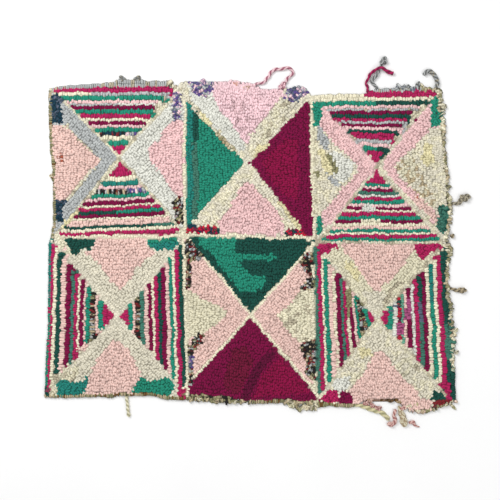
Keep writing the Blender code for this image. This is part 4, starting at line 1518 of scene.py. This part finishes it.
class RUG_OT_stage(bpy.types.Operator):
    """Set the floor, the soft lights and the camera straight above the rug"""

    bl_idname = "rug.stage"
    bl_label = "Set the stage"

    def execute(self, context):
        bm = bmesh.new()
        bmesh.ops.create_grid(bm, x_segments=1, y_segments=1, size=4.0)
        mesh = bpy.data.meshes.new("floor")
        bm.to_mesh(mesh)
        bm.free()
        mesh.materials.append(painted_floor())
        floor = bpy.data.objects.new("floor", mesh)
        context.scene.collection.objects.link(floor)
        add_softbox("key_softbox", (-1.6, 1.8, 2.6), 1.6, 78.0)
        add_softbox("fill_softbox", (1.8, -1.2, 2.8), 2.4, 30.0)
        world = bpy.data.worlds.new("pale room")
        world.use_nodes = True
        world.node_tree.nodes["Background"].inputs["Color"].default_value = (1.0, 1.0, 1.0, 1.0)
        world.node_tree.nodes["Background"].inputs["Strength"].default_value = 0.62
        context.scene.world = world
        data = bpy.data.cameras.new("overhead_camera")
        data.sensor_width = 36.0
        data.lens = data.sensor_width / (CHART_SIDE * SQUARE) * context.scene.rug_sizes.camera_height
        camera = bpy.data.objects.new("overhead_camera", data)
        camera.location = (
            *on_rug((CHART_SIDE / 2, CHART_SIDE / 2)), context.scene.rug_sizes.camera_height)
        context.scene.collection.objects.link(camera)
        context.scene.camera = camera
        context.scene.view_settings.view_transform = "Standard"
        return {"FINISHED"}


class RUG_PT_panel(bpy.types.Panel):
    """Sizes, colours and building steps of the rag rug"""

    bl_label = "Rag rug"
    bl_idname = "RUG_PT_panel"
    bl_space_type = "VIEW_3D"
    bl_region_type = "UI"
    bl_category = "Rag Rug"

    def draw(self, context):
        for group in (context.scene.rug_sizes, context.scene.rag_colours):
            box = self.layout.box()
            for name in group.__annotations__:
                box.prop(group, name)
        for operator in OPERATORS:
            self.layout.operator(operator.bl_idname)


OPERATORS = (
    RUG_OT_stage, RUG_OT_loop_pile, RUG_OT_loop_roots, RUG_OT_whipped_rims, RUG_OT_rim_knots,
    RUG_OT_ground_cloth, RUG_OT_short_ends, RUG_OT_loose_ends,
)
CLASSES = (RugSizes, RagColours, *OPERATORS, RUG_PT_panel)


def register():
    """Add the properties, operators and panel."""
    for item in CLASSES:
        bpy.utils.register_class(item)
    bpy.types.Scene.rug_sizes = PointerProperty(type=RugSizes)
    bpy.types.Scene.rag_colours = PointerProperty(type=RagColours)


def unregister():
    """Take the properties, operators and panel away again."""
    del bpy.types.Scene.rag_colours
    del bpy.types.Scene.rug_sizes
    for item in reversed(CLASSES):
        bpy.utils.unregister_class(item)


def main():
    """Build every piece of the rug."""
    register()
    bpy.ops.rug.stage()
    bpy.ops.rug.loop_pile()
    bpy.ops.rug.loop_roots()
    bpy.ops.rug.whipped_rims()
    bpy.ops.rug.rim_knots()
    bpy.ops.rug.ground_cloth()
    bpy.ops.rug.short_ends()
    bpy.ops.rug.loose_ends()


if __name__ == "__main__":
    main()
